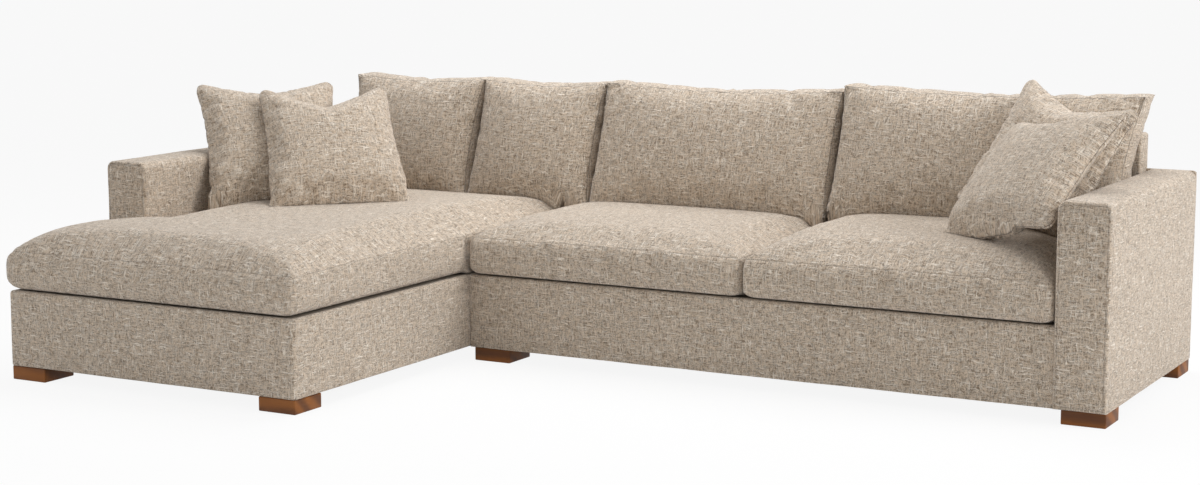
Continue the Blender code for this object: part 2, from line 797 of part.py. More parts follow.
def build_decks():
    """Padded decks over the springs, one for each module."""
    front = y_sofa + border_setback + wall + fit_gap
    made = box((x_sofa, front, deck_bottom),
               (x_right_arm - fit_gap, y_inside_back - fit_gap, base_top))
    piece("sofa_deck", made, DECKING, sofa)
    x0, x1 = x_left + wall + fit_gap, x_joint - wall - fit_gap
    y0, y1 = y_chaise + wall + fit_gap, y_inside_back - fit_gap
    outline = [(x0, y0), (x1, y0), (x1, y1), (x_left_arm + fit_gap, y1),
               (x_left_arm + fit_gap, y_left_arm + wall), (x0, y_left_arm + wall)]
    piece("chaise_deck", extrude_outline(outline, 2, deck_bottom, base_top), DECKING, chaise)


def build_sofa_base():
    """The sofa module's seat frame and everything fixed to it."""
    y_front = y_sofa + border_setback
    made = rails("sofa", x_sofa, x_right, y_front, y_back, sofa)
    inner_front = y_front + rail_inset + rail_thickness + fit_gap
    inner_back = y_back - rail_inset - rail_thickness - fit_gap
    board("sofa_centre_rail", (x_seam - rail_thickness / 2, inner_front, rail_bottom),
          (x_seam + rail_thickness / 2, inner_back, rail_top), sofa)
    border("sofa_front_border_left", (x_joint + joint_reveal, y_front, base_bottom),
           (x_seam - fit_gap, y_front + wall, base_top), sofa, (1, -1))
    border("sofa_front_border_right", (x_seam + fit_gap, y_front, base_bottom),
           (x_right_arm - fit_gap, y_front + wall, base_top), sofa, (1, -1))
    board("sofa_left_side_panel", (x_sofa, y_front + wall + fit_gap, base_bottom),
          (x_sofa + wall, y_cover_end, deck_bottom - fit_gap), sofa, FABRIC)
    piece("sofa_dust_cover", box((x_sofa + rail_inset, y_front + rail_inset, base_bottom),
                                 (x_right - rail_inset, y_back - rail_inset,
                                  base_bottom + dust_cover_thickness)), DUST_CLOTH, sofa)
    start, end = y_front + spring_inset, y_back - spring_inset
    low, high = x_sofa + rail_inset + rail_thickness, x_right_arm
    build_springs("sofa_springs_left", evenly(springs_per_seat, low, x_seam), 1, start, end, sofa)
    build_springs("sofa_springs_right", evenly(springs_per_seat, x_seam, high), 1, start, end, sofa)
    build_arm("right_arm", x_right, x_right_arm, y_sofa, base_bottom, sofa)
    build_back("sofa", x_sofa, x_right_arm - fit_gap, x_sofa, x_right, 1, sofa)
    corners = corner_places(x_sofa, x_right, y_front, y_back, foot_centre_inset)
    build_feet("sofa", corners, sofa)
    add_glue_blocks(made["front"], "sofa_front_blocks", corners[:2])
    add_glue_blocks(made["back"], "sofa_back_blocks", corners[2:])


def build_chaise_base():
    """The chaise module's seat frame and everything fixed to it."""
    made = rails("chaise", x_left, x_joint, y_chaise, y_back, chaise)
    inner_left = x_left + rail_inset + rail_thickness + fit_gap
    inner_right = x_joint - rail_inset - rail_thickness - fit_gap
    start, end = x_left + spring_inset, x_joint - spring_inset
    rows = evenly(springs_in_chaise, y_chaise + rail_inset + rail_thickness, y_inside_back)
    middle = springs_in_chaise // 2
    cross_y = (rows[middle - 1] + rows[middle]) / 2
    board("chaise_cross_rail", (inner_left, cross_y - rail_thickness / 2, rail_bottom),
          (inner_right, cross_y + rail_thickness / 2, rail_top), chaise)
    border("chaise_front_border", (x_left, y_chaise, base_bottom),
           (x_joint, y_chaise + wall, base_top), chaise, (1, -1))
    border("chaise_left_border", (x_left, y_chaise + wall + fit_gap, base_bottom),
           (x_left + wall, y_left_arm + wall, base_top), chaise, (0, -1))
    y0, low_top = y_chaise + wall + fit_gap, deck_bottom - fit_gap
    outline = [(y0, base_bottom), (y_cover_end, base_bottom), (y_cover_end, low_top),
               (y_inside_back - fit_gap, low_top), (y_inside_back - fit_gap, base_top), (y0, base_top)]
    panel = extrude_outline(outline, 0, x_joint - wall, x_joint)
    soften(panel, min(border_top_radius, wall - fit_gap), 3,
           lambda e: all(abs(v.co.x - x_joint) < fit_gap and abs(v.co.z - base_top) < fit_gap
                         for v in e.verts))
    piece("chaise_right_border", panel, FABRIC, chaise)
    piece("chaise_dust_cover", box((x_left + rail_inset, y_chaise + rail_inset, base_bottom),
                                   (x_joint - rail_inset, y_back - rail_inset,
                                    base_bottom + dust_cover_thickness)), DUST_CLOTH, chaise)
    build_springs("chaise_springs", rows, 0, start, end, chaise)
    build_arm("left_arm", x_left, x_left_arm, y_left_arm, base_top + fit_gap, chaise)
    build_back("chaise", x_left_arm + fit_gap, x_joint, x_left, x_joint, -1, chaise)
    corners = corner_places(x_left, x_joint, y_chaise, y_back, foot_centre_inset)
    build_feet("chaise", corners, chaise)
    add_glue_blocks(made["front"], "chaise_front_blocks", corners[:2])
    add_glue_blocks(made["back"], "chaise_back_blocks", corners[2:])


def build_seats():
    """The three seat cushions."""
    g = seat_side_gap
    y0, y1 = y_sofa, y_inside_back - g
    left = seat_cushion_mesh((x_joint + g, x_seam - g / 2, y0, y1), seat_crown)
    right = seat_cushion_mesh((x_seam + g / 2, x_right_arm - g, y0, y1), right_seat_crown)
    plan = (x_left, x_joint - fit_gap, y_chaise, y1)
    long = chaise_cushion_mesh(plan, x_left_arm + g, y_left_arm - g)
    return {"left": piece("seat_cushion_left", left, FABRIC, sofa),
            "right": piece("seat_cushion_right", right, FABRIC, sofa),
            "chaise": piece("chaise_seat_cushion", long, FABRIC, chaise)}


def build_loose_cushions(seats):
    """The back cushions, which lean on the backs, and the throw pillows in front of them."""
    rests = {side: world_mesh(made) for side, made in seats.items()}
    backs = [world_mesh(bpy.data.objects[f"{module}_inside_back"]) for module in ("chaise", "sofa")]
    arms = {side: world_mesh(bpy.data.objects[f"{side}_arm_cover"]) for side in ("left", "right")}
    names = ("back_cushion_chaise_outer", "back_cushion_chaise_inner",
             "back_cushion_left_seat", "back_cushion_right_seat")
    under = (("chaise",), ("chaise", "left"), ("left",), ("right",))
    spills = (-1, 0, 0, 1)
    row = x_right_arm - x_left_arm
    row_meshes = []
    for name, seat_names, spill, low, high in zip(names, under, spills, back_row_shares,
                                                  back_row_shares[1:]):
        made = back_cushion_mesh(x_left_arm + low * row + back_cushion_gap / 2,
                                 x_left_arm + high * row - back_cushion_gap / 2, spill)
        settle(made, [rests[n] for n in seat_names], backs, (0, 1, 0))
        row_meshes.append(made.copy())
        piece(name, made, FABRIC, chaise if seat_names[0] == "chaise" else sofa)
    pairs = (("left", "chaise", chaise, row_meshes[:2], left_pair_push,
              ((left_rear_foot, left_pair_turn, left_rear_lean, 0.0, left_rear_chop),
               (left_front_foot, left_pair_turn, left_front_lean, 0.0, left_front_chop))),
             ("right", "right", sofa, row_meshes[3:], right_pair_push,
              ((right_rear_foot, right_rear_turn, right_rear_lean, right_rear_roll, right_rear_chop),
               (right_front_foot, right_front_turn, right_front_lean, right_front_roll,
                right_front_chop))))
    for side, seat_name, holder, behind, push, places in pairs:
        stops = [arms[side]] + behind
        for layer, (foot, turn, lean, roll, chop) in zip(("rear", "front"), places):
            made = pillow_mesh(foot, turn, lean, roll, chop)
            settle(made, [rests[seat_name]], stops, (-math.sin(push), math.cos(push), 0))
            stops = stops + [made.copy()]
            piece(f"pillow_{side}_{layer}", made, FABRIC, holder)


clear_scene()
sofa = empty("sofa_module", Vector((x_seam, y_sofa, 0)))
chaise = empty("chaise_module", Vector((x_left + chaise_width / 2, y_chaise, 0)))
build_sofa_base()
build_chaise_base()
build_decks()
build_hooks()
build_loose_cushions(build_seats())
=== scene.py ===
"""Looks of a sectional sofa in two modules: a one-armed chaise and a one-armed two-seat sofa.

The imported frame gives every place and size. Each upholstered piece is modelled here over the solid
that it stands for, the loose cushions are filled by a cloth simulation, and the timber, springs and
hooks inside keep their solids and get finishes of their own. Lengths are in metres, +Z is up, +X is
to the right seen from the front, and +Y is towards the back.
"""
import logging
import math
from dataclasses import dataclass, field
from enum import Enum
from functools import lru_cache
from typing import Any, Callable, Iterable, Sequence

import bmesh
import bpy
from mathutils import Matrix, Vector, noise
from mathutils.bvhtree import BVHTree
from mathutils.kdtree import KDTree


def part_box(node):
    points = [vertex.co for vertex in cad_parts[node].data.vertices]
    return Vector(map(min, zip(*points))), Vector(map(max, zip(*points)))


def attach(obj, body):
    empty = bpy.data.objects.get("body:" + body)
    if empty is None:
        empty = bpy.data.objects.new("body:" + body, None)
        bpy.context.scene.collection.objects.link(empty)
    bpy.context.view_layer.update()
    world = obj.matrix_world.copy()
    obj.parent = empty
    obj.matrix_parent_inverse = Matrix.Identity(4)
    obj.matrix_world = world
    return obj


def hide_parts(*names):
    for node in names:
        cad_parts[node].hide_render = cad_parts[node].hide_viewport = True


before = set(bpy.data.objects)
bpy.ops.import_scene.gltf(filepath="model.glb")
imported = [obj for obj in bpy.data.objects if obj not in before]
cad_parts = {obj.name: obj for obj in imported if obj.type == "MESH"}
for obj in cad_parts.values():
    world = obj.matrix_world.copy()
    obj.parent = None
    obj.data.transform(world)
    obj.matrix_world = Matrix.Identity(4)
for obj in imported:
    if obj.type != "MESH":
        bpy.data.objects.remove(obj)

Shape = bmesh.types.BMesh
Edge = bmesh.types.BMEdge
Vert = bmesh.types.BMVert
Colour = tuple[float, float, float, float]
Span = tuple[float, float]

log = logging.getLogger("sofa")

CLOTH_MAP = "cloth"
SEAM_MARK = "seam"
HAIR = 0.0002
FAR_FROM_SEAM = 1.0
REAR_SHIFT = 0.37
FACING_SHIFT = 0.61
BOLT_STEPS = (0.7391, 1.3187)
BOLT_SPAN = 5.0


class Slot(Enum):
    """The record's material slots."""

    FABRIC = "woven_fabric"
    DECK = "deck_cloth"
    DUST = "dust_cloth"
    TIMBER = "frame_timber"
    WALNUT = "foot_walnut"
    STEEL = "spring_steel"


class Grain(Enum):
    """The world axis along which a board was sawn."""

    ACROSS = 0
    DEEP = 1
    UP = 2


class Reading:
    """A value that changes over a surface, so that shader maths reads as sums and products."""

    def __init__(self, bench: "Bench", socket: bpy.types.NodeSocket) -> None:
        """Wrap an output socket of a bench's node tree."""
        self.bench = bench
        self.socket = socket

    def __add__(self, other: "Reading | float") -> "Reading":
        """Sum of the two."""
        return self.bench.maths("ADD", self, other)

    def __radd__(self, other: float) -> "Reading":
        """Sum with a number in front."""
        return self.bench.maths("ADD", other, self)

    def __sub__(self, other: "Reading | float") -> "Reading":
        """Difference of the two."""
        return self.bench.maths("SUBTRACT", self, other)

    def __rsub__(self, other: float) -> "Reading":
        """Difference from a number in front."""
        return self.bench.maths("SUBTRACT", other, self)

    def __mul__(self, other: "Reading | float") -> "Reading":
        """Product of the two."""
        return self.bench.maths("MULTIPLY", self, other)

    def __rmul__(self, other: float) -> "Reading":
        """Product with a number in front."""
        return self.bench.maths("MULTIPLY", other, self)


class Bench:
    """The node tree of one finish, and the few ways in which its nodes are joined."""

    def __init__(self, name: str) -> None:
        """Start a material with nothing but its output.

        Args:
            name: The material's name.
        """
        self.material = bpy.data.materials.new(name)
        self.material.use_nodes = True
        self.tree = self.material.node_tree
        self.tree.nodes.clear()
        self.output = self.node("ShaderNodeOutputMaterial")

    def node(self, kind: str, settings: dict[str, Any] | None = None,
             feeds: dict[str | int, Any] | None = None) -> bpy.types.Node:
        """Add a node, set it up, and then fill or link its sockets.

        Args:
            kind: The node's type.
            settings: Attributes of the node, set before its sockets are touched.
            feeds: Value, reading or socket for each input, by its name or number.

        Returns:
            The new node.
        """
        made = self.tree.nodes.new(kind)
        for key, value in (settings or {}).items():
            setattr(made, key, value)
        for key, value in (feeds or {}).items():
            self.feed(made.inputs[key], value)
        return made

    def feed(self, target: bpy.types.NodeSocket, value: Any) -> None:
        """Link a reading or a socket to an input, or write a plain value there."""
        if isinstance(value, Reading):
            self.tree.links.new(value.socket, target)
        elif isinstance(value, bpy.types.NodeSocket):
            self.tree.links.new(value, target)
        else:
            target.default_value = value

    def reading(self, kind: str, output: str | int, settings: dict[str, Any] | None = None,
                feeds: dict[str | int, Any] | None = None) -> Reading:
        """Add a node and wrap one of its outputs."""
        return Reading(self, self.node(kind, settings, feeds).outputs[output])

    def maths(self, operation: str, *terms: Reading | float) -> Reading:
        """Join values by one arithmetic step."""
        return self.reading("ShaderNodeMath", 0, {"operation": operation}, dict(enumerate(terms)))

    def step(self, value: Reading, low: float, high: float) -> Reading:
        """Zero below the low limit and one above the high one, with a soft rise between."""
        return self.reading("ShaderNodeMapRange", "Result", {"interpolation_type": "SMOOTHSTEP"},
                            {"Value": value, "From Min": low, "From Max": high})

    def spot(self, x: Reading | float, y: Reading | float, z: Reading | float) -> Reading:
        """A place in a pattern, from its three measures."""
        return self.reading("ShaderNodeCombineXYZ", 0, None, {0: x, 1: y, 2: z})

    def cloud(self, place: Reading, detail: float, curl: float) -> Reading:
        """Soft noise from zero to one, whose scale is that of the place it is read at."""
        return self.reading("ShaderNodeTexNoise", "Fac", None,
                            {"Vector": place, "Scale": 1.0, "Detail": detail,
                             "Roughness": 0.5, "Distortion": curl})

    def measures(self) -> list[Reading]:
        """The object's own coordinates, one by one."""
        place = self.node("ShaderNodeTexCoord").outputs["Object"]
        split = self.node("ShaderNodeSeparateXYZ", None, {0: place})
        return [Reading(self, split.outputs[axis]) for axis in range(3)]

    def blend(self, share: Reading | float, first: Any, second: Any) -> Reading:
        """Mix two colours."""
        return self.reading("ShaderNodeMix", 2, {"data_type": "RGBA", "blend_type": "MIX"},
                            {0: share, 6: first, 7: second})

    def finish(self, constants: dict[str, Any], varied: dict[str, Reading],
               height: Reading | None = None, depth: float = 0.001,
               strength: float = 1.0) -> bpy.types.Material:
        """Close the tree with the surface shader.

        Args:
            constants: Plain values for the shader's own sockets.
            varied: Readings for the sockets that change over the surface.
            height: The relief of the surface, or None where it is smooth.
            depth: Real height in metres of one unit of relief.
            strength: Share of the relief that shows.

        Returns:
            The finished material.
        """
        surface = self.node("ShaderNodeBsdfPrincipled", None, {**constants, **varied})
        if height is not None:
            relief = self.node("ShaderNodeBump", None,
                               {"Height": height, "Distance": depth, "Strength": strength})
            self.feed(surface.inputs["Normal"], relief.outputs["Normal"])
        self.feed(self.output.inputs["Surface"], surface.outputs[0])
        return self.material


def tint(red: float, green: float, blue: float) -> Colour:
    """A solid colour from its linear shares."""
    return (red, green, blue, 1.0)


@dataclass(frozen=True)
class Motif:
    """One layer of noise in a pattern: its waves per metre along three measures, and its twist."""

    first: float
    second: float
    third: float
    detail: float = 1.0
    curl: float = 0.0

    def on(self, bench: Bench, u: Reading, v: Reading, w: Reading | float = 1.0) -> Reading:
        """Read the layer at a place; on flat cloth the third measure only picks a slice."""
        place = bench.spot(u * self.first, v * self.second, w * self.third)
        return bench.cloud(place, self.detail, self.curl)


@dataclass(frozen=True)
class Tweed:
    """Chunky linen tweed: crossing threads of uneven thickness, pale slubs and dark flecks, with
    painted shade darkening its seams.
    """

    shade: Colour = tint(0.190, 0.136, 0.088)
    yarn: Colour = tint(0.630, 0.512, 0.395)
    slub: Colour = tint(0.960, 0.885, 0.780)
    # painted shade: near-black colour blended in along the seams, standing in for the shadow in their
    # creases
    seam_shade: Colour = tint(0.085, 0.060, 0.042)
    depth: float = 0.0026
    strength: float = 0.85
    drift: Motif = Motif(40.0, 40.0, 4.0)
    drift_reach: float = 0.012
    warp: Motif = Motif(265.0, 38.0, 2.0, 2.0)
    weft: Motif = Motif(38.0, 265.0, 7.0, 2.0)
    curl: Motif = Motif(250.0, 250.0, 11.0, 1.0, 1.6)
    loops: Motif = Motif(105.0, 105.0, 17.0, 1.0, 2.2)
    loop_edge: Span = (0.008, 0.040)
    torn: Motif = Motif(64.0, 64.0, 19.0)
    torn_rise: Span = (0.44, 0.56)
    along: Motif = Motif(22.0, 280.0, 5.0)
    along_rise: Span = (0.58, 0.68)
    upright: Motif = Motif(280.0, 22.0, 9.0)
    upright_rise: Span = (0.60, 0.70)
    flecks: Motif = Motif(230.0, 230.0, 15.0, 1.0, 1.0)
    fleck_rise: Span = (0.58, 0.68)
    broad: Motif = Motif(7.0, 7.0, 21.0, 2.0)
    tone_rise: Span = (0.32, 0.58)
    pull: Motif = Motif(62.0, 62.0, 31.0)
    # how far from a seam the painted seam shade reaches, in metres
    seam_shade_reach: Span = (0.0002, 0.0020)
    pull_reach: Span = (0.002, 0.030)
    groove_reach: Span = (0.0, 0.0040)
    straight_share: float = 0.75
    curl_share: float = 0.40
    broad_share: float = 0.06
    slub_share: float = 0.78
    fleck_share: float = 0.62
    # share of painted seam shade at the seam itself
    seam_shade_share: float = 0.30
    slub_rise: float = 0.45
    fleck_drop: float = 0.35
    groove_drop: float = 0.8

    def dye(self, name: str) -> bpy.types.Material:
        """Build the fabric on a piece's own cloth map, with painted shade along its seams and grooves
        pressed into the relief there.
        """
        bench = Bench(name)
        place = bench.node("ShaderNodeUVMap", {"uv_map": CLOTH_MAP}).outputs["UV"]
        split = bench.node("ShaderNodeSeparateXYZ", None, {0: place})
        u, v = Reading(bench, split.outputs[0]), Reading(bench, split.outputs[1])
        drift = self.drift.on(bench, u, v) * self.drift_reach
        u, v = u + drift, v - drift
        slubs = self.slubs(bench, u, v)
        flecks = bench.step(self.flecks.on(bench, u, v), *self.fleck_rise)
        threads = (self.warp.on(bench, u, v) + self.weft.on(bench, u, v)) * 0.5
        weave = threads + (self.curl.on(bench, u, v) - 0.5) * self.curl_share
        broad = (self.broad.on(bench, u, v) - 0.5) * self.broad_share
        colour = bench.blend(bench.step(weave + broad, *self.tone_rise), self.shade, self.yarn)
        colour = bench.blend(slubs * self.slub_share, colour, self.slub)
        colour = bench.blend(flecks * self.fleck_share, colour, self.shade)
        seam = bench.reading("ShaderNodeAttribute", "Fac", {"attribute_name": SEAM_MARK})
        # painted shade: cloth within about two millimetres of a seam is darkened towards the
        # near-black colour, as shadow in the seam's crease
        seam_shade, near, groove = (1.0 - bench.step(seam, *reach) for reach in
                                (self.seam_shade_reach, self.pull_reach, self.groove_reach))
        colour = bench.blend(seam_shade * self.seam_shade_share, colour, self.seam_shade)
        relief = (weave + slubs * self.slub_rise - flecks * self.fleck_drop
                  + self.pull.on(bench, u, v) * near - groove * self.groove_drop)
        return bench.finish({"Roughness": 0.93, "Specular IOR Level": 0.22, "Sheen Weight": 0.32,
                             "Sheen Roughness": 0.55},
                            {"Base Color": colour}, relief, self.depth, self.strength)

    def slubs(self, bench: Bench, u: Reading, v: Reading) -> Reading:
        """Where thick pale yarn shows: curled loops, and short runs along both threads."""
        rim = bench.maths("ABSOLUTE", self.loops.on(bench, u, v) - 0.5)
        torn = bench.step(self.torn.on(bench, u, v), *self.torn_rise)
        squiggle = (1.0 - bench.step(rim, *self.loop_edge)) * torn
        along = bench.step(self.along.on(bench, u, v), *self.along_rise)
        upright = bench.step(self.upright.on(bench, u, v), *self.upright_rise)
        straight = bench.maths("MAXIMUM", along, upright) * self.straight_share
        return bench.maths("MAXIMUM", squiggle, straight)


@dataclass(frozen=True)
class PlainCloth:
    """A thin plain-woven lining, such as the decking or the dust cover."""

    dark: Colour
    light: Colour
    warp: Motif = Motif(900.0, 40.0, 40.0)
    weft: Motif = Motif(40.0, 900.0, 900.0)
    tone_rise: Span = (0.30, 0.70)
    depth: float = 0.0006
    strength: float = 0.6

    def dye(self, name: str) -> bpy.types.Material:
        """Build the lining on the object's own coordinates."""
        bench = Bench(name)
        place = bench.measures()
        weave = (self.warp.on(bench, *place) + self.weft.on(bench, *place)) * 0.5
        colour = bench.blend(bench.step(weave, *self.tone_rise), self.dark, self.light)
        return bench.finish({"Roughness": 0.92, "Specular IOR Level": 0.25},
                            {"Base Color": colour}, weave, self.depth, self.strength)


@dataclass(frozen=True)
class Wood:
    """Sawn or polished timber, with growth rings that run along one axis."""

    early: Colour
    late: Colour
    gloss: float
    coat: float
    grain: Grain
    rings: float = 62.0
    ring_tilt: float = 0.8
    bend: Motif = Motif(9.0, 9.0, 2.2, 2.0)
    bend_reach: float = 6.8
    pores: Motif = Motif(900.0, 900.0, 26.0, 2.0)
    broad: Motif = Motif(30.0, 30.0, 5.0, 3.0)
    ring_share: float = 0.45
    pore_share: float = 0.35
    broad_share: float = 0.30
    tone_rise: Span = (0.25, 0.85)
    pore_roughness: float = 0.22
    depth: float = 0.0003
    strength: float = 0.5

    def dye(self, name: str) -> bpy.types.Material:
        """Build the timber on the object's own coordinates."""
        bench = Bench(name)
        measures = bench.measures()
        along = measures.pop(self.grain.value)
        first, second = measures
        bend, pores, broad = (motif.on(bench, first, second, along)
                              for motif in (self.bend, self.pores, self.broad))
        wave = (first * self.ring_tilt + second) * self.rings + bend * self.bend_reach
        rings = bench.maths("SINE", wave) * 0.5 + 0.5
        tone = rings * self.ring_share + pores * self.pore_share + broad * self.broad_share
        colour = bench.blend(bench.step(tone, *self.tone_rise), self.early, self.late)
        rough = pores * self.pore_roughness + self.gloss
        return bench.finish({"Coat Weight": self.coat, "Coat Roughness": 0.28,
                             "Specular IOR Level": 0.4},
                            {"Base Color": colour, "Roughness": rough}, pores, self.depth,
                            self.strength)


@dataclass(frozen=True)
class Steel:
    """Drawn spring wire and pressed hook plate, with a dull oiled skin."""

    bright: Colour = tint(0.42, 0.43, 0.44)
    oiled: Colour = tint(0.20, 0.19, 0.18)
    film: Motif = Motif(60.0, 60.0, 60.0, 3.0)
    scratch: Motif = Motif(700.0, 90.0, 700.0, 2.0)
    film_rise: Span = (0.35, 0.70)
    film_roughness: float = 0.25
    roughness: float = 0.28
    depth: float = 0.0002
    strength: float = 0.4

    def dye(self, name: str) -> bpy.types.Material:
        """Build the steel on the object's own coordinates."""
        bench = Bench(name)
        place = bench.measures()
        film = self.film.on(bench, *place)
        colour = bench.blend(bench.step(film, *self.film_rise), self.bright, self.oiled)
        rough = film * self.film_roughness + self.roughness
        return bench.finish({"Metallic": 1.0}, {"Base Color": colour, "Roughness": rough},
                            self.scratch.on(bench, *place), self.depth, self.strength)


@dataclass(frozen=True)
class Finishes:
    """Every finish on the sofa, made once and shared."""

    tweed: bpy.types.Material
    # tweed with a much stronger painted shade along its seams
    sewn: bpy.types.Material
    deck: bpy.types.Material
    dust: bpy.types.Material
    walnut: bpy.types.Material
    steel: bpy.types.Material
    timber: dict[Grain, bpy.types.Material]

    @classmethod
    def mixed(cls) -> "Finishes":
        """Mix all of the finishes."""
        pale, brown = tint(0.62, 0.43, 0.25), tint(0.42, 0.26, 0.13)
        boards = {grain: Wood(pale, brown, gloss=0.55, coat=0.0, grain=grain)
                  .dye(f"frame_timber_{grain.name.lower()}") for grain in Grain}
        # the second tweed has its painted seam shade raised from 0.30 to 0.80
        return cls(Tweed().dye("woven_tweed"), Tweed(seam_shade_share=0.80).dye("seam_shaded_tweed"),
                   PlainCloth(tint(0.19, 0.16, 0.13), tint(0.40, 0.35, 0.29)).dye("deck_lining"),
                   PlainCloth(tint(0.012, 0.012, 0.012), tint(0.045, 0.045, 0.045)).dye("dust_lining"),
                   Wood(tint(0.262, 0.086, 0.010), tint(0.110, 0.033, 0.004), gloss=0.46,
                        coat=0.04, grain=Grain.ACROSS, rings=95.0).dye("foot_walnut"),
                   Steel().dye("spring_steel"), boards)


@lru_cache(maxsize=None)
def box_of(node: str) -> tuple[Vector, Vector]:
    """The low and high corners of a solid, looked up once."""
    low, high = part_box(node)
    return low.freeze(), high.freeze()


def start_block(low: Vector, high: Vector) -> Shape:
    """Start a shape with one box between two corners."""
    shape = bmesh.new()
    place = Matrix.Translation((low + high) / 2) @ Matrix.Diagonal((*(high - low), 1.0))
    bmesh.ops.create_cube(shape, size=1.0, matrix=place)
    return shape


def slice_shape(shape: Shape, axis: int, places: Iterable[float]) -> None:
    """Cut new rows of edges through a shape, square to one axis."""
    across = Vector([1.0 if i == axis else 0.0 for i in range(3)])
    for place in places:
        every = shape.verts[:] + shape.edges[:] + shape.faces[:]
        bmesh.ops.bisect_plane(shape, geom=every, dist=HAIR / 4, plane_co=across * place,
                               plane_no=across)


def spread(low: float, high: float, pitch: float) -> list[float]:
    """Evenly spaced places strictly between two limits, about one pitch apart."""
    count = max(1, round((high - low) / pitch))
    return [low + (high - low) * i / count for i in range(1, count)]


def grid_shape(shape: Shape, pitch: float, **spans: Span) -> None:
    """Cut a shape into rows about one pitch apart, over a span of each axis that is named."""
    for axis, span in spans.items():
        slice_shape(shape, "xyz".index(axis), spread(*span, pitch))


def lies_at(edge: Edge, axis: str, level: float) -> bool:
    """Whether both ends of an edge are at one level of an axis."""
    return all(abs(getattr(v.co, axis) - level) < HAIR for v in edge.verts)


def pull_out(shape: Shape, faces: list[bmesh.types.BMFace], step: float) -> None:
    """Pull some faces along X, with new walls behind them."""
    swept = bmesh.ops.extrude_face_region(shape, geom=faces)["geom"]
    moved = [g for g in swept if isinstance(g, Vert)]
    bmesh.ops.translate(shape, verts=moved, vec=(step, 0, 0))
    bmesh.ops.delete(shape, geom=faces, context="FACES")


def round_edges(shape: Shape, edges: Sequence[Edge], radius: float, segments: int = 5) -> None:
    """Round some edges of a shape."""
    bmesh.ops.bevel(shape, geom=list(edges), offset=radius, segments=segments, profile=0.5,
                    affect="EDGES", material=-1, clamp_overlap=True)


def map_cloth(shape: Shape, shift: Vector) -> None:
    """Lay the cloth flat on each panel, in metres, by the axis that the panel faces.

    Args:
        shape: The shape, still square to the axes.
        shift: Where on the bolt of cloth this piece was cut.
    """
    layer = shape.loops.layers.uv.get(CLOTH_MAP) or shape.loops.layers.uv.new(CLOTH_MAP)
    shape.normal_update()
    for face in shape.faces:
        sizes = [abs(part) for part in face.normal]
        facing = sizes.index(max(sizes))
        side = REAR_SHIFT if face.normal[facing] < 0 else 0.0
        for loop in face.loops:
            x, y, z = loop.vert.co
            flat = ((y, z), (x, z), (x, y))[facing]
            loop[layer].uv = (flat[0] + shift.x + side, flat[1] + shift.y + FACING_SHIFT * facing)


def mark_seams(shape: Shape, seams: Sequence[Edge]) -> None:
    """Write down how far each vertex is from the nearest seam."""
    layer = shape.verts.layers.float.get(SEAM_MARK) or shape.verts.layers.float.new(SEAM_MARK)
    spots = [v.co.copy() for e in seams for v in e.verts]
    spots += [(e.verts[0].co + e.verts[1].co) / 2 for e in seams]
    tree = KDTree(max(1, len(spots)))
    for i, spot in enumerate(spots):
        tree.insert(spot, i)
    tree.balance()
    for vert in shape.verts:
        vert[layer] = tree.find(vert.co)[2] if spots else FAR_FROM_SEAM


def soften_faces(shape: Shape, amount: float, scale: float, seed: float) -> None:
    """Give a shape the slight unevenness of padding under cloth."""
    shape.normal_update()
    for vert in shape.verts:
        drift = noise.noise(vert.co * scale + Vector((seed, seed, seed)))
        vert.co += vert.normal * amount * drift


def centred(value: float, low: float, high: float) -> float:
    """Place in a span, from -1 at its low end to 1 at its high end."""
    return 2 * (value - low) / (high - low) - 1


def turn_outwards(shape: Shape, low: Vector, high: Vector) -> None:
    """Turn a shell's faces round if they look at its middle."""
    middle = (low + high) / 2
    if sum((f.calc_center_median() - middle).dot(f.normal) for f in shape.faces) < 0:
        bmesh.ops.reverse_faces(shape, faces=shape.faces)


def panel_joint(axis: int) -> Callable[[Edge], bool]:
    """A test for edges between a panel that faces an axis and one that doesn't."""
    def joins(edge: Edge) -> bool:
        """Whether the edge's faces differ in that."""
        return len({abs(f.normal[axis]) > 0.5 for f in edge.link_faces}) == 2
    return joins


def tree_over(pieces: Iterable[bpy.types.Object]) -> BVHTree:
    """A search tree over the meshes of some objects."""
    points: list[Vector] = []
    faces: list[list[int]] = []
    for piece in pieces:
        base = len(points)
        points += [v.co.copy() for v in piece.data.vertices]
        faces += [[base + i for i in p.vertices] for p in piece.data.polygons]
    return BVHTree.FromPolygons(points, faces)


def close_up(shape: Shape) -> None:
    """Merge what touches and turn every face outwards."""
    bmesh.ops.remove_doubles(shape, verts=shape.verts, dist=HAIR / 10)
    bmesh.ops.recalc_face_normals(shape, faces=shape.faces)


def bolt_shift(number: int) -> Vector:
    """A different place on the bolt of cloth for each piece."""
    return Vector((*(number * step % BOLT_SPAN for step in BOLT_STEPS), 0.0))


@dataclass
class Workshop:
    """Turns finished shapes into pieces that ride on the frame."""

    finishes: Finishes
    count: int = 0

    def cut(self) -> Vector:
        """Take the next place on the bolt of cloth."""
        self.count += 1
        return bolt_shift(self.count)

    def make(self, name: str, shape: Shape, sharp: float = 40.0) -> bpy.types.Object:
        """Turn a shape into an object with smooth faces, sharp only past an angle in degrees."""
        mesh = bpy.data.meshes.new(name)
        shape.to_mesh(mesh)
        shape.free()
        mesh.polygons.foreach_set("use_smooth", [True] * len(mesh.polygons))
        mesh.set_sharp_from_angle(angle=math.radians(sharp))
        made = bpy.data.objects.new(name, mesh)
        bpy.context.scene.collection.objects.link(made)
        return made

    def fit(self, made: bpy.types.Object, body: str, nodes: Sequence[str],
            finish: bpy.types.Material) -> None:
        """Dress a piece and set it on its body, in place of the nodes that it stands for."""
        made.data.materials.clear()
        made.data.materials.append(finish)
        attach(made, body)
        if nodes:
            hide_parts(*nodes)

    def cover(self, name: str, shape: Shape, body: str, nodes: Sequence[str]) -> bpy.types.Object:
        """Make an upholstered piece of the frame from a finished shape."""
        made = self.make(name, shape)
        self.fit(made, body, nodes, self.finishes.tweed)
        return made


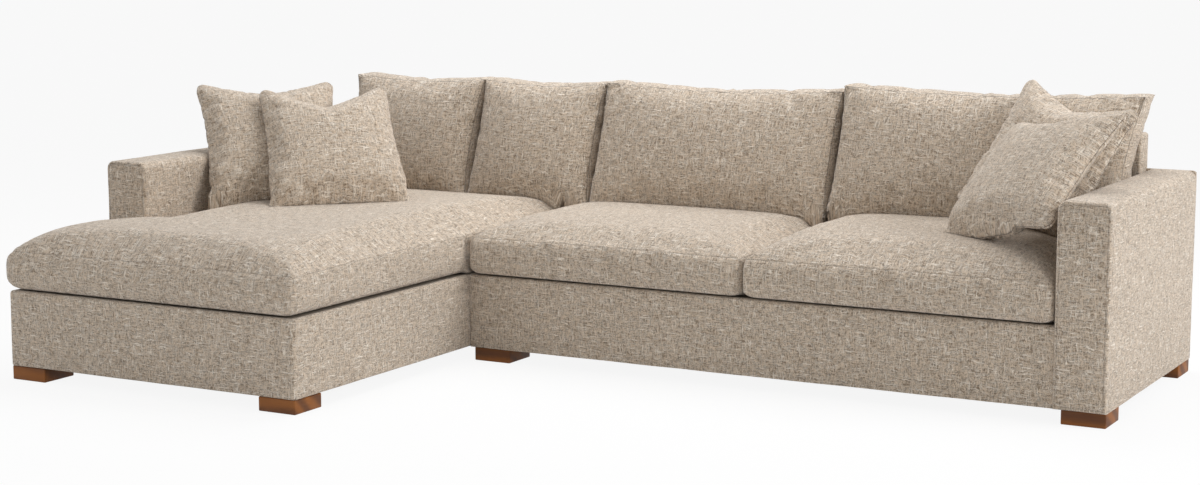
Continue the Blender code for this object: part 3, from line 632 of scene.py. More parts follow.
@dataclass
class Arm:
    """An upholstered arm: a cover over the top and both sides, and a sewn front panel."""

    prefix: str
    body: str
    outward: int
    inner_floor: float
    top_radius: float = 0.026
    wall: float = 0.0165
    front_radius: float = 0.007
    seam_inset: float = 0.0025
    band_inset: float = 0.004
    seam_dent: float = 0.0012
    dent_reach: float = 0.003
    corner_slack: float = 0.0012
    face_depth: float = 0.002
    pitch: float = 0.030
    swell: float = 0.0035
    top_swell_share: float = 0.6
    cover_waves: Span = (0.0012, 9.0)
    front_waves: tuple[float, float, float] = (0.0008, 11.0, 9.0)

    def build(self, shop: Workshop) -> None:
        """Make the cover and the front panel."""
        self.build_cover(shop)
        self.build_front(shop)

    def build_cover(self, shop: Workshop) -> None:
        """The padded cover, open underneath and at both ends."""
        node = f"{self.prefix}_cover"
        low, high = box_of(node)
        shape = start_block(low, high)
        shape.faces.ensure_lookup_table()
        ends = [f for f in shape.faces if abs(f.normal.y) > 0.5 or f.normal.z < -0.5]
        bmesh.ops.delete(shape, geom=ends, context="FACES_ONLY")
        loose = [e for e in shape.edges if not e.link_faces]
        bmesh.ops.delete(shape, geom=loose, context="EDGES")
        tops = [e for e in shape.edges if len(e.link_faces) == 2]
        round_edges(shape, tops, self.top_radius, 6)
        inner_x = low.x if self.outward > 0 else high.x
        for vert in shape.verts:
            if abs(vert.co.x - inner_x) < HAIR and vert.co.z < self.inner_floor:
                vert.co.z = self.inner_floor
        grid_shape(shape, self.pitch, y=(low.y, high.y), z=(low.z, high.z - self.top_radius),
                   x=(low.x + self.top_radius, high.x - self.top_radius))
        bmesh.ops.recalc_face_normals(shape, faces=shape.faces)
        turn_outwards(shape, low, high)
        map_cloth(shape, shop.cut())
        self.swell_cover(shape, low, high)
        bmesh.ops.solidify(shape, geom=shape.faces[:], thickness=self.wall)
        mark_seams(shape, [])
        made = shop.make(node.replace("cover", "padding"), shape)
        shop.fit(made, self.body, [node], shop.finishes.tweed)

    def swell_cover(self, shape: Shape, low: Vector, high: Vector) -> None:
        """Round the outer side and the top slightly, as padding does."""
        for vert in shape.verts:
            along = hump(centred(vert.co.y, low.y, high.y), 4)
            up = hump(centred(vert.co.z, low.z, high.z), 6)
            across = centred(vert.co.x, low.x, high.x)
            outer = max(0.0, across * self.outward) ** 4
            vert.co.x += self.outward * self.swell * along * up * outer
            if high.z - vert.co.z < HAIR:
                vert.co.z += self.swell * self.top_swell_share * (1 - across ** 2) * along
        soften_faces(shape, *self.cover_waves, 3.0 + self.outward)

    def build_front(self, shop: Workshop) -> None:
        """The front panel, with a seam a little way in from its edge."""
        node = f"{self.prefix}_front_panel"
        low, high = box_of(node)
        shape = start_block(low, high)
        corners = [e for e in shape.edges if lies_at(e, "z", high.z)
                   and abs(e.verts[0].co.x - e.verts[1].co.x) < HAIR]
        round_edges(shape, corners, self.top_radius, 6)
        shape.normal_update()
        front = [f for f in shape.faces if f.normal.y < -0.9]
        rim = [e for f in front for e in f.edges]
        round_edges(shape, rim, self.front_radius, 3)
        shape.normal_update()
        face = max((f for f in shape.faces if f.normal.y < -0.99), key=lambda f: f.calc_area())
        bmesh.ops.inset_region(shape, faces=[face], thickness=self.seam_inset, use_even_offset=True)
        seam = list(face.edges)
        marks = [e.verts[0].co.copy() for e in seam] + [e.verts[1].co.copy() for e in seam]
        bmesh.ops.inset_region(shape, faces=[face], thickness=self.band_inset,
                               use_even_offset=True)
        grid_shape(shape, self.pitch, x=(low.x, high.x), z=(low.z, high.z))
        map_cloth(shape, shop.cut())
        seams = self.edges_near(shape, marks)
        mark_seams(shape, seams)
        self.swell_front(shape, low, high)
        close_up(shape)
        shop.cover(f"{self.prefix}_front_pad", shape, self.body, [node])

    def edges_near(self, shape: Shape, marks: list[Vector]) -> list[Edge]:
        """Edges that lie on the seam's line, told by the seam's own distance from the rim."""
        lows = [min(m[i] for m in marks) for i in range(3)]
        highs = [max(m[i] for m in marks) for i in range(3)]

        def on_line(vert: Vert) -> bool:
            """Whether a vertex is on the straight runs or the corners of the seam."""
            x, y, z = vert.co
            if abs(y - lows[1]) > HAIR or z > highs[2] + HAIR:
                return False
            turn = self.top_radius - self.seam_inset - self.front_radius
            side = min(abs(x - lows[0]), abs(x - highs[0])) < HAIR
            level = min(abs(z - lows[2]), abs(z - highs[2])) < HAIR
            in_x = lows[0] - HAIR < x < highs[0] + HAIR
            corner = any(abs((Vector((x, z)) - Vector((cx, highs[2] - turn))).length - turn)
                         < self.corner_slack and z > highs[2] - turn
                         for cx in (lows[0] + turn, highs[0] - turn))
            return (side and z > lows[2] - HAIR) or (level and in_x) or corner
        return [e for e in shape.edges if all(on_line(v) for v in e.verts)]

    def swell_front(self, shape: Shape, low: Vector, high: Vector) -> None:
        """Press the seam in and let the middle of the panel stand proud."""
        layer = shape.verts.layers.float[SEAM_MARK]
        for vert in shape.verts:
            if vert.co.y > low.y + self.face_depth:
                continue
            u, w = centred(vert.co.x, low.x, high.x), centred(vert.co.z, low.z, high.z)
            vert.co.y -= self.swell * max(0.0, 1 - u ** 4) * max(0.0, 1 - w ** 8)
            vert.co.y += self.seam_dent * math.exp(-(vert[layer] / self.dent_reach) ** 2)
        soften_faces(shape, *self.front_waves)


@dataclass
class Border:
    """A padded border panel on the front of the seat frame."""

    node: str
    body: str
    top_radius: float = 0.0100
    edge_radius: float = 0.007
    pitch: float = 0.030
    swell: float = 0.0025
    waves: Span = (0.0010, 8.0)

    def build(self, shop: Workshop) -> None:
        """Make the panel with its rounder top edge."""
        low, high = box_of(self.node)
        shape = start_block(low, high)
        round_edges(shape, [e for e in shape.edges if lies_at(e, "y", low.y)
                            and lies_at(e, "z", high.z)], self.top_radius, 6)
        round_edges(shape, [e for e in shape.edges if lies_at(e, "y", low.y)
                            and not lies_at(e, "z", high.z)
                            and e.calc_length() > 2 * self.top_radius], self.edge_radius, 3)
        grid_shape(shape, self.pitch, x=(low.x, high.x), z=(low.z, high.z - self.top_radius))
        map_cloth(shape, shop.cut())
        mark_seams(shape, [])
        for vert in shape.verts:
            if vert.co.y < low.y + HAIR:
                u, w = centred(vert.co.x, low.x, high.x), centred(vert.co.z, low.z, high.z)
                vert.co.y -= self.swell * (1 - u ** 8) * (1 - w ** 4)
        soften_faces(shape, *self.waves, low.x)
        close_up(shape)
        shop.cover(f"{self.node}_pad", shape, self.body, [self.node])


@dataclass
class ChaiseSkirt:
    """The chaise's border: one length of cloth round its front and both of its sides."""

    body: str = "chaise_module"
    nodes: tuple[str, ...] = ("chaise_front_border", "chaise_left_border", "chaise_right_border")
    wall: float = 0.0170
    corner: float = 0.012
    outer_share: float = 0.4
    top_radius: float = 0.0100
    foot_radius: float = 0.006
    end_margin: float = 0.02
    pitch: float = 0.030
    waves: tuple[float, float, float] = (0.0008, 8.0, 5.0)

    def build(self, shop: Workshop) -> None:
        """Run a path round the module, raise it into a wall and give the wall its thickness."""
        front_low, front_high = box_of(self.nodes[0])
        left_high = box_of(self.nodes[1])[1]
        right_high = box_of(self.nodes[2])[1]
        x0, x1, y0 = front_low.x, front_high.x, front_low.y
        bottom, top = front_low.z, front_high.z
        shape = bmesh.new()
        path = [shape.verts.new(spot) for spot in ((x0, left_high.y, bottom), (x0, y0, bottom),
                                                   (x1, y0, bottom), (x1, right_high.y, bottom))]
        for first, second in zip(path, path[1:]):
            shape.edges.new((first, second))
        bmesh.ops.bevel(shape, geom=path[1:3], offset=self.corner, segments=5, profile=0.5,
                        affect="VERTICES", material=-1)
        swept = bmesh.ops.extrude_edge_only(shape, edges=shape.edges[:])["geom"]
        raised = [g for g in swept if isinstance(g, Vert)]
        bmesh.ops.translate(shape, verts=raised, vec=(0, 0, top - bottom))
        self.face_outwards(shape, Vector(((x0 + x1) / 2, (y0 + right_high.y) / 2, 0)))
        bmesh.ops.solidify(shape, geom=shape.faces[:], thickness=self.wall)
        shape.normal_update()
        self.round_rims(shape, top, bottom)
        grid_shape(shape, self.pitch, x=(x0 + self.end_margin, x1 - self.end_margin),
                   y=(y0 + self.end_margin, right_high.y), z=(bottom, top - self.top_radius))
        map_cloth(shape, shop.cut())
        mark_seams(shape, [])
        soften_faces(shape, *self.waves)
        close_up(shape)
        shop.cover("chaise_skirt", shape, self.body, self.nodes)

    def face_outwards(self, shape: Shape, middle: Vector) -> None:
        """Turn the wall's faces away from the module's middle."""
        bmesh.ops.recalc_face_normals(shape, faces=shape.faces)
        shape.normal_update()
        lean = 0.0
        for face in shape.faces:
            away = face.calc_center_median() - middle
            lean += Vector((away.x, away.y, 0)).dot(face.normal) * face.calc_area()
        if lean < 0:
            bmesh.ops.reverse_faces(shape, faces=shape.faces)

    def round_rims(self, shape: Shape, top: float, bottom: float) -> None:
        """Round the outer edge at the top and, less, at the foot."""
        for level, radius in ((top, self.top_radius), (bottom, self.foot_radius)):
            rim = []
            for edge in shape.edges:
                if len(edge.link_faces) != 2 or not lies_at(edge, "z", level):
                    continue
                flat = [f for f in edge.link_faces if abs(f.normal.z) > 0.5]
                wall = [f for f in edge.link_faces if abs(f.normal.z) < 0.5]
                if flat and wall:
                    inward = flat[0].calc_center_median() - (edge.verts[0].co + edge.verts[1].co) / 2
                    if inward.dot(wall[0].normal) < 0:
                        rim.append(edge)
            outer = [e for e in rim if self.is_outer(e)]
            round_edges(shape, outer, radius, 4)

    def is_outer(self, edge: Edge) -> bool:
        """Whether an edge lies on the module's outside and not on its inner wall."""
        low, high = box_of(self.nodes[0])
        back = box_of(self.nodes[2])[1].y
        spot = (edge.verts[0].co + edge.verts[1].co) / 2
        depth = min(spot.x - low.x, high.x - spot.x, spot.y - low.y)
        return depth < self.corner * self.outer_share and spot.y < back - HAIR


@dataclass
class Back:
    """A module's upholstered back: the inside cover and the flat rear panel."""

    prefix: str
    body: str
    arm_side: int
    arm_height: float
    top_radius: float = 0.032
    wall: float = 0.0165
    edge_radius: float = 0.006
    corner_radius: float = 0.010
    pitch: float = 0.035
    rear_pitch_share: float = 1.5
    inside_waves: Span = (0.0010, 9.0)
    rear_waves: Span = (0.0008, 7.0)

    def build(self, shop: Workshop) -> None:
        """Make the inside cover and the rear panel."""
        self.build_inside(shop)
        self.build_outside(shop)

    def build_inside(self, shop: Workshop) -> None:
        """The cover over the front, top and ends, open to the rear and underneath."""
        node = f"{self.prefix}_inside_back"
        low, high = box_of(node)
        shape = start_block(low, high)
        open_faces = [f for f in shape.faces if f.normal.y > 0.5 or f.normal.z < -0.5]
        bmesh.ops.delete(shape, geom=open_faces, context="FACES")
        ridge = [e for e in shape.edges if len(e.link_faces) == 2
                 and lies_at(e, "z", high.z) and lies_at(e, "y", low.y)]
        round_edges(shape, ridge, self.top_radius, 6)
        shape.normal_update()
        ends = [e for e in shape.edges if len(e.link_faces) == 2
                and any(abs(f.normal.x) > 0.9 for f in e.link_faces)]
        round_edges(shape, ends, self.edge_radius, 3)
        grid_shape(shape, self.pitch, x=(low.x, high.x), z=(low.z, high.z - self.top_radius))
        shape.normal_update()
        turn_outwards(shape, low, high)
        map_cloth(shape, shop.cut())
        soften_faces(shape, *self.inside_waves, low.x)
        bmesh.ops.solidify(shape, geom=shape.faces[:], thickness=self.wall)
        mark_seams(shape, [])
        shop.cover(f"{self.prefix}_back_padding", shape, self.body, [node])

    def build_outside(self, shop: Workshop) -> None:
        """The rear panel, which steps down behind the arm."""
        node = f"{self.prefix}_outside_back"
        low, high = box_of(node)
        inner_low, inner_high = box_of(f"{self.prefix}_inside_back")
        main_low, main_high = low.copy(), high.copy()
        if self.arm_side > 0:
            main_high.x = inner_high.x
        else:
            main_low.x = inner_low.x
        shape = start_block(main_low, main_high)
        slice_shape(shape, 2, [self.arm_height])
        shape.normal_update()
        side = [f for f in shape.faces if f.normal.x * self.arm_side > 0.9
                and f.calc_center_median().z < self.arm_height]
        step = high.x - main_high.x if self.arm_side > 0 else low.x - main_low.x
        pull_out(shape, side, step)
        self.round_panel(shape, high)
        grid_shape(shape, self.pitch * self.rear_pitch_share, x=(low.x, high.x), z=(low.z, high.z))
        map_cloth(shape, shop.cut())
        mark_seams(shape, [])
        soften_faces(shape, *self.rear_waves, high.x)
        close_up(shape)
        shop.cover(f"{self.prefix}_rear_panel", shape, self.body, [node])

    def round_panel(self, shape: Shape, high: Vector) -> None:
        """Round the panel's upper corners and then the rim of its rear face."""
        def upright(edge: Edge) -> bool:
            """Whether an edge runs front to back at an outward corner near the top."""
            first, second = edge.verts
            runs = abs(first.co.x - second.co.x) < HAIR and abs(first.co.z - second.co.z) < HAIR
            return runs and first.co.z > self.arm_height - HAIR and len(edge.link_faces) == 2
        outward = []
        shape.normal_update()
        for edge in shape.edges:
            if upright(edge) and edge.is_convex and edge.calc_face_angle(0.0) > 0.5:
                outward.append(edge)
        round_edges(shape, outward, self.corner_radius, 4)
        shape.normal_update()
        rim = [e for e in shape.edges if len(e.link_faces) == 2 and e.is_convex
               and lies_at(e, "y", high.y)
               and any(abs(f.normal.y) < 0.5 for f in e.link_faces)]
        round_edges(shape, rim, self.edge_radius, 3)


@dataclass
class FlatPanel:
    """A plain lined panel that a neighbour hides, such as the side behind the chaise."""

    node: str
    body: str
    ease: float = 0.003
    pitch: float = 0.05

    def build(self, shop: Workshop) -> None:
        """Make the panel with its edges eased."""
        low, high = box_of(self.node)
        shape = start_block(low, high)
        round_edges(shape, shape.edges[:], self.ease, 2)
        grid_shape(shape, self.pitch, y=(low.y, high.y), z=(low.z, high.z))
        map_cloth(shape, shop.cut())
        mark_seams(shape, [])
        shop.cover(f"{self.node}_cloth", shape, self.body, [self.node])


@dataclass
class Foot:
    """A low square walnut foot with eased edges."""

    node: str
    body: str
    arris: float = 0.0032

    def build(self, shop: Workshop) -> None:
        """Make the foot as one polished block."""
        low, high = box_of(self.node)
        shape = start_block(low, high)
        round_edges(shape, shape.edges[:], self.arris, 3)
        close_up(shape)
        made = shop.make(f"{self.node}_block", shape, sharp=30.0)
        shop.fit(made, self.body, [self.node], shop.finishes.walnut)


def hump(t: float, power: float = 2.0) -> float:
    """One at the middle of a span and zero at its ends, for t from -1 to 1."""
    return max(0.0, 1.0 - abs(t) ** power)


def crowd_edges(t: float, pull: float = 0.62) -> float:
    """Move rows of a grid towards the ends of a span, where the seams are."""
    return (1 - pull) * t + pull * math.sin(math.pi * t / 2)


def gridded(size: Vector, cuts: tuple[int, int, int]) -> Shape:
    """A box about the origin, cut into a grid with finer rows near its edges."""
    shape = bmesh.new()
    bmesh.ops.create_cube(shape, size=2.0)
    for axis in range(3):
        if cuts[axis]:
            along = [e for e in shape.edges
                     if abs(abs(e.verts[0].co[axis] - e.verts[1].co[axis]) - 2.0) < HAIR]
            bmesh.ops.subdivide_edges(shape, edges=along, cuts=cuts[axis], use_grid_fill=True)
    for vert in shape.verts:
        for axis in range(3):
            vert.co[axis] = crowd_edges(vert.co[axis]) * size[axis] / 2
    return shape


@dataclass
class Filling:
    """How firmly a loose cushion is stuffed, for its cloth simulation."""

    pressure: float
    growth: float
    reach: float
    proud: float
    stiffness: float = 12.0
    bending: float = 0.6
    hold: float = 0.55
    hold_reach: float = 0.012


@dataclass
class Cushion:
    """A loose cushion: its first form, its filling, and the piece that it becomes."""

    node: str
    body: str
    fill: float
    filling: Filling
    seams: list[tuple[int, int]] = field(default_factory=list)

    def form(self) -> Shape:
        """The sewn form before it is filled, in place."""
        raise NotImplementedError

    def held(self, place: Vector, distance: float) -> float:
        """Share to which the filling leaves a spot where it is, from its distance to a seam."""
        return self.filling.hold * max(0.0, 1.0 - distance / self.filling.hold_reach)

    def lay_out(self, shop: Workshop, shape: Shape, is_seam: Callable[[Edge], bool]) -> None:
        """Lay the cloth on a shape that is still square, and find its seams."""
        map_cloth(shape, shop.cut())
        shape.edges.ensure_lookup_table()
        shape.verts.index_update()
        self.seams = [(e.verts[0].index, e.verts[1].index) for e in shape.edges if is_seam(e)]

    def sew(self, shape: Shape) -> None:
        """Mark the distance to the seams on the finished form."""
        shape.verts.ensure_lookup_table()
        edges = [shape.edges.get((shape.verts[a], shape.verts[b])) for a, b in self.seams]
        mark_seams(shape, [e for e in edges if e is not None])

    def settle_on(self, shape: Shape) -> None:
        """Move a form to where its solid is, by the middle of its box."""
        low, high = box_of(self.node)
        lows = Vector([min(v.co[i] for v in shape.verts) for i in range(3)])
        highs = Vector([max(v.co[i] for v in shape.verts) for i in range(3)])
        bmesh.ops.translate(shape, verts=shape.verts, vec=(low + high - lows - highs) / 2)


@dataclass
class SeatCushion(Cushion):
    """A boxed seat cushion with a high crown."""

    edge_height: float = 0.124
    crown: float = 0.056
    draw_in: float = 0.005
    overhang: float = 0.010
    corner_round: float = 0.022
    rim_round: float = 0.022
    foot_round: float = 0.011
    side_slack: float = 0.0025
    power_across: float = 7.0
    power_deep: float = 3.4
    fullness: float = 0.75
    free_side: float = 0.0
    lift: float = 0.0055
    lift_reach: float = 0.060
    corner_lift: float = 0.012
    corner_lift_reach: float = 0.042
    cuts: tuple[int, int, int] = (52, 50, 9)

    def plan(self) -> tuple[float, float, float, float]:
        """The cushion's plan at its seams: low and high x, low and high y."""
        low, high = box_of(self.node)
        return (low.x - self.side_slack, high.x + self.side_slack, low.y + self.overhang, high.y)

    def crown_at(self, x: float, y: float) -> float:
        """Share of the full crown at a spot of the plan."""
        x0, x1, y0, y1 = self.plan()
        return self.crown_in(x, y, x0, x1, y0, y1)

    def crown_in(self, x: float, y: float, x0: float, x1: float, y0: float, y1: float) -> float:
        """Share of the crown in one rectangle, fuller towards its front."""
        w = (2 * y - y0 - y1) / (y1 - y0)
        return (hump((2 * x - x0 - x1) / (x1 - x0), self.power_across)
                * hump(w, self.power_deep) ** (self.fullness if w < 0 else 1.0))

    def sides_at(self, x: float, y: float) -> tuple[float, float, float, float, float]:
        """The sides of the plan nearest to a spot, and how far its x sides count."""
        return (*self.plan(), 1.0)

    def ease_rims(self, shape: Shape) -> None:
        """Round the block's upright corners and both of its rims, as filling does."""
        bottom = box_of(self.node)[0].z
        top = bottom + self.edge_height
        for vert in shape.verts:
            x0, x1, y0, y1, counts = self.sides_at(vert.co.x, vert.co.y)
            limits = ((x0, x1, self.corner_round, counts), (y0, y1, self.corner_round, 1.0),
                      (bottom, top, 0.0, 1.0))
            shares, turns = [], []
            for axis, (low, high, reach, weight) in enumerate(limits):
                place = vert.co[axis]
                step = 1 if place < (low + high) / 2 else -1
                edge = low if step > 0 else high
                reach = reach or (self.foot_round if step > 0 else self.rim_round)
                shares.append(max(0.0, 1 - (place - edge) * step / reach) * weight)
                turns.append((edge, step, reach, weight))
            for axis, (edge, step, reach, weight) in enumerate(turns):
                if shares[axis] > 0:
                    b, c = (min(1.0, shares[i]) ** 2 for i in range(3) if i != axis)
                    bent = shares[axis] * math.sqrt(1 - b / 2 - c / 2 + b * c / 3)
                    vert.co[axis] += step * reach * (shares[axis] - bent)

    def flat_block(self) -> Shape:
        """The cushion's plan as a plain gridded block, in place."""
        x0, x1, y0, y1 = self.plan()
        bottom = box_of(self.node)[0].z
        shape = gridded(Vector((x1 - x0, y1 - y0, self.edge_height)), self.cuts)
        bmesh.ops.translate(shape, verts=shape.verts,
                            vec=((x0 + x1) / 2, (y0 + y1) / 2, bottom + self.edge_height / 2))
        return shape

    def form(self) -> Shape:
        """Give the block its crown, its drawn-in sides and its swelling boxing."""
        shape = self.flat_block()
        bottom = box_of(self.node)[0].z
        top = bottom + self.edge_height
        shape.normal_update()
        self.lay_out(SHOP, shape, panel_joint(2))
        self.sew(shape)
        x0, x1, y0, y1 = self.plan()
        for vert in shape.verts:
            x, y, z = vert.co
            share = (z - bottom) / self.edge_height
            u, w = (2 * x - x0 - x1) / (x1 - x0), (2 * y - y0 - y1) / (y1 - y0)
            swell = hump(2 * share - 1, 3)
            if z > top - HAIR:
                vert.co.z += self.crown * self.crown_at(x, y)
            if abs(w + 1) < HAIR:
                vert.co.y += self.draw_in - (self.draw_in + self.overhang) * swell
            for side in (-1, 1):
                if abs(u - side) < HAIR:
                    vert.co.x -= side * self.draw_in * hump(w, 4) * (1 - swell / 2)
            if abs(u + 1) < HAIR:
                vert.co.x -= self.free_side * swell * (hump(w, 8) if w > 0 else 1)
        self.ease_rims(shape)
        self.lift_foot(shape)
        return shape

    def lift_foot(self, shape: Shape) -> None:
        """Raise the rim of the underside a little, so that a dark gap shows over the border."""
        y0, bottom = self.plan()[2], box_of(self.node)[0].z
        for vert in shape.verts:
            depth = max(0.0, self.ahead_of(vert.co.x, vert.co.y, y0))
            low = max(0.0, 1 - (vert.co.z - bottom) / (self.edge_height / 2))
            x0, x1 = self.sides_at(vert.co.x, vert.co.y)[:2]
            side = max(0.0, 1 - min(vert.co.x - x0, x1 - vert.co.x) / self.corner_lift_reach)
            lift = self.lift + self.corner_lift * side ** 2
            vert.co.z += lift * (1 - min(1.0, depth / self.lift_reach) ** 3) * low ** 2

    def ahead_of(self, x: float, y: float, y0: float) -> float:
        """Distance of a spot from the edge over the border."""
        return y - y0

    def held(self, place: Vector, distance: float) -> float:
        """Hold the underside still and the seams partly."""
        bottom = box_of(self.node)[0].z
        return 1.0 if place.z < bottom + self.foot_round else super().held(place, distance)


@dataclass
class ChaiseCushion(SeatCushion):
    """The chaise's long cushion, whose front widens past the arm."""

    cuts: tuple[int, int, int] = (48, 96, 9)
    ear_cuts: int = 9
    blend_depth: float = 0.060
    crown_blend: int = 4
    free_side: float = 0.014
    side_slack: float = 0.0020
    arm_gap: float = 0.004

    def ahead_of(self, x: float, y: float, y0: float) -> float:
        """The front edge and, as far as the sofa's front, the right one."""
        return min(y - y0, self.plan()[1] - x) if y < box_of("sofa_front_border_left")[0].y else y - y0

    def notch(self) -> tuple[float, float]:
        """Where the arm cuts into the plan."""
        arm_inner = box_of("left_arm_cover")[1].x
        front = box_of("left_arm_front_panel")[0].y
        return arm_inner + self.arm_gap, front - self.arm_gap

    def crown_at(self, x: float, y: float) -> float:
        """Share of the full crown over the two rectangles of the plan."""
        x0, x1, y0, y1 = self.plan()
        notch_x, notch_y = self.notch()
        total = 0.0
        for a, b, c, d in ((notch_x, x1, y0, y1), (x0, x1, y0, notch_y)):
            total += self.crown_in(x, y, a, b, c, d) ** self.crown_blend
        return min(1.0, total ** (1 / self.crown_blend))

    def sides_at(self, x: float, y: float) -> tuple[float, float, float, float, float]:
        """The sides of the L-shaped plan; past its inner corner they come in slowly."""
        x0, x1, y0, y1 = self.plan()
        notch_x, notch_y = self.notch()
        if y < notch_y + HAIR:
            return x0, x1, y0, notch_y if x < notch_x - HAIR else y1, 1.0
        near = x < (notch_x + x1) / 2
        return notch_x, x1, y0, y1, min(1.0, (y - notch_y) / self.blend_depth) if near else 1.0

    def flat_block(self) -> Shape:
        """A block beside the arm, with the ear pulled out of its side."""
        x0, x1, y0, y1 = self.plan()
        notch_x, notch_y = self.notch()
        bottom = box_of(self.node)[0].z
        shape = gridded(Vector((x1 - notch_x, y1 - y0, self.edge_height)), self.cuts)
        bmesh.ops.translate(shape, verts=shape.verts,
                            vec=((notch_x + x1) / 2, (y0 + y1) / 2, bottom + self.edge_height / 2))
        rows = sorted({round(v.co.y, 5) for v in shape.verts})
        nearest = min(rows, key=lambda row: abs(row - notch_y))
        for vert in shape.verts:
            if abs(vert.co.y - nearest) < HAIR:
                vert.co.y = notch_y
        for _ in range(self.ear_cuts):
            edge_x = min(v.co.x for v in shape.verts)
            side = [f for f in shape.faces if all(abs(v.co.x - edge_x) < HAIR for v in f.verts)
                    and f.calc_center_median().y < notch_y]
            pull_out(shape, side, (x0 - notch_x) / self.ear_cuts)
        return shape


@dataclass
class BackCushion(Cushion):
    """A boxed back cushion that leans, with ears at its top corners."""

    height: float = 0.395
    edge: float = 0.112
    lean: float = math.radians(20.0)
    crown: float = 0.046
    rear_crown: float = 0.014
    draw_in: float = 0.011
    top_dip: float = 0.012
    spill: float = 0.028
    spill_side: int = 0
    clear_share: float = -0.0745
    fill_power: float = 2.4
    seam_dent: float = 0.005
    dent_reach: float = 0.025
    pitch: float = 0.016

    def form(self) -> Shape:
        """Shape the block and lean it back over its foot."""
        low, high = box_of(self.node)
        width = high.x - low.x - self.spill * abs(self.spill_side)
        cuts = (round(width / self.pitch), 7, round(self.height / self.pitch))
        shape = gridded(Vector((width, self.edge, self.height)), cuts)
        shape.normal_update()
        self.lay_out(SHOP, shape, panel_joint(1))
        self.sew(shape)
        layer = shape.verts.layers.float[SEAM_MARK]
        for vert in shape.verts:
            x, y, z = vert.co
            u, s, face = 2 * x / width, 2 * z / self.height, 2 * y / self.edge
            filled = hump(u, self.fill_power) * hump(s, self.fill_power)
            near = max(0.0, 1 - vert[layer] / self.dent_reach) ** 2
            x -= u * abs(u) * self.draw_in * hump(s, 3)
            if face < -1 + HAIR:
                y -= self.crown * filled - self.seam_dent * near
            if face > 1 - HAIR:
                y += self.rear_crown * filled
            if s > 0:
                z -= self.top_dip * hump(u) * s ** 4
            if s > self.clear_share:
                out = max(0.0, u * self.spill_side) * (s - self.clear_share) / (1 - self.clear_share)
                x += self.spill_side * self.spill * out
            rise = z + self.height / 2
            vert.co = (x, y + math.tan(self.lean) * rise, rise)
        self.settle_on(shape)
        return shape


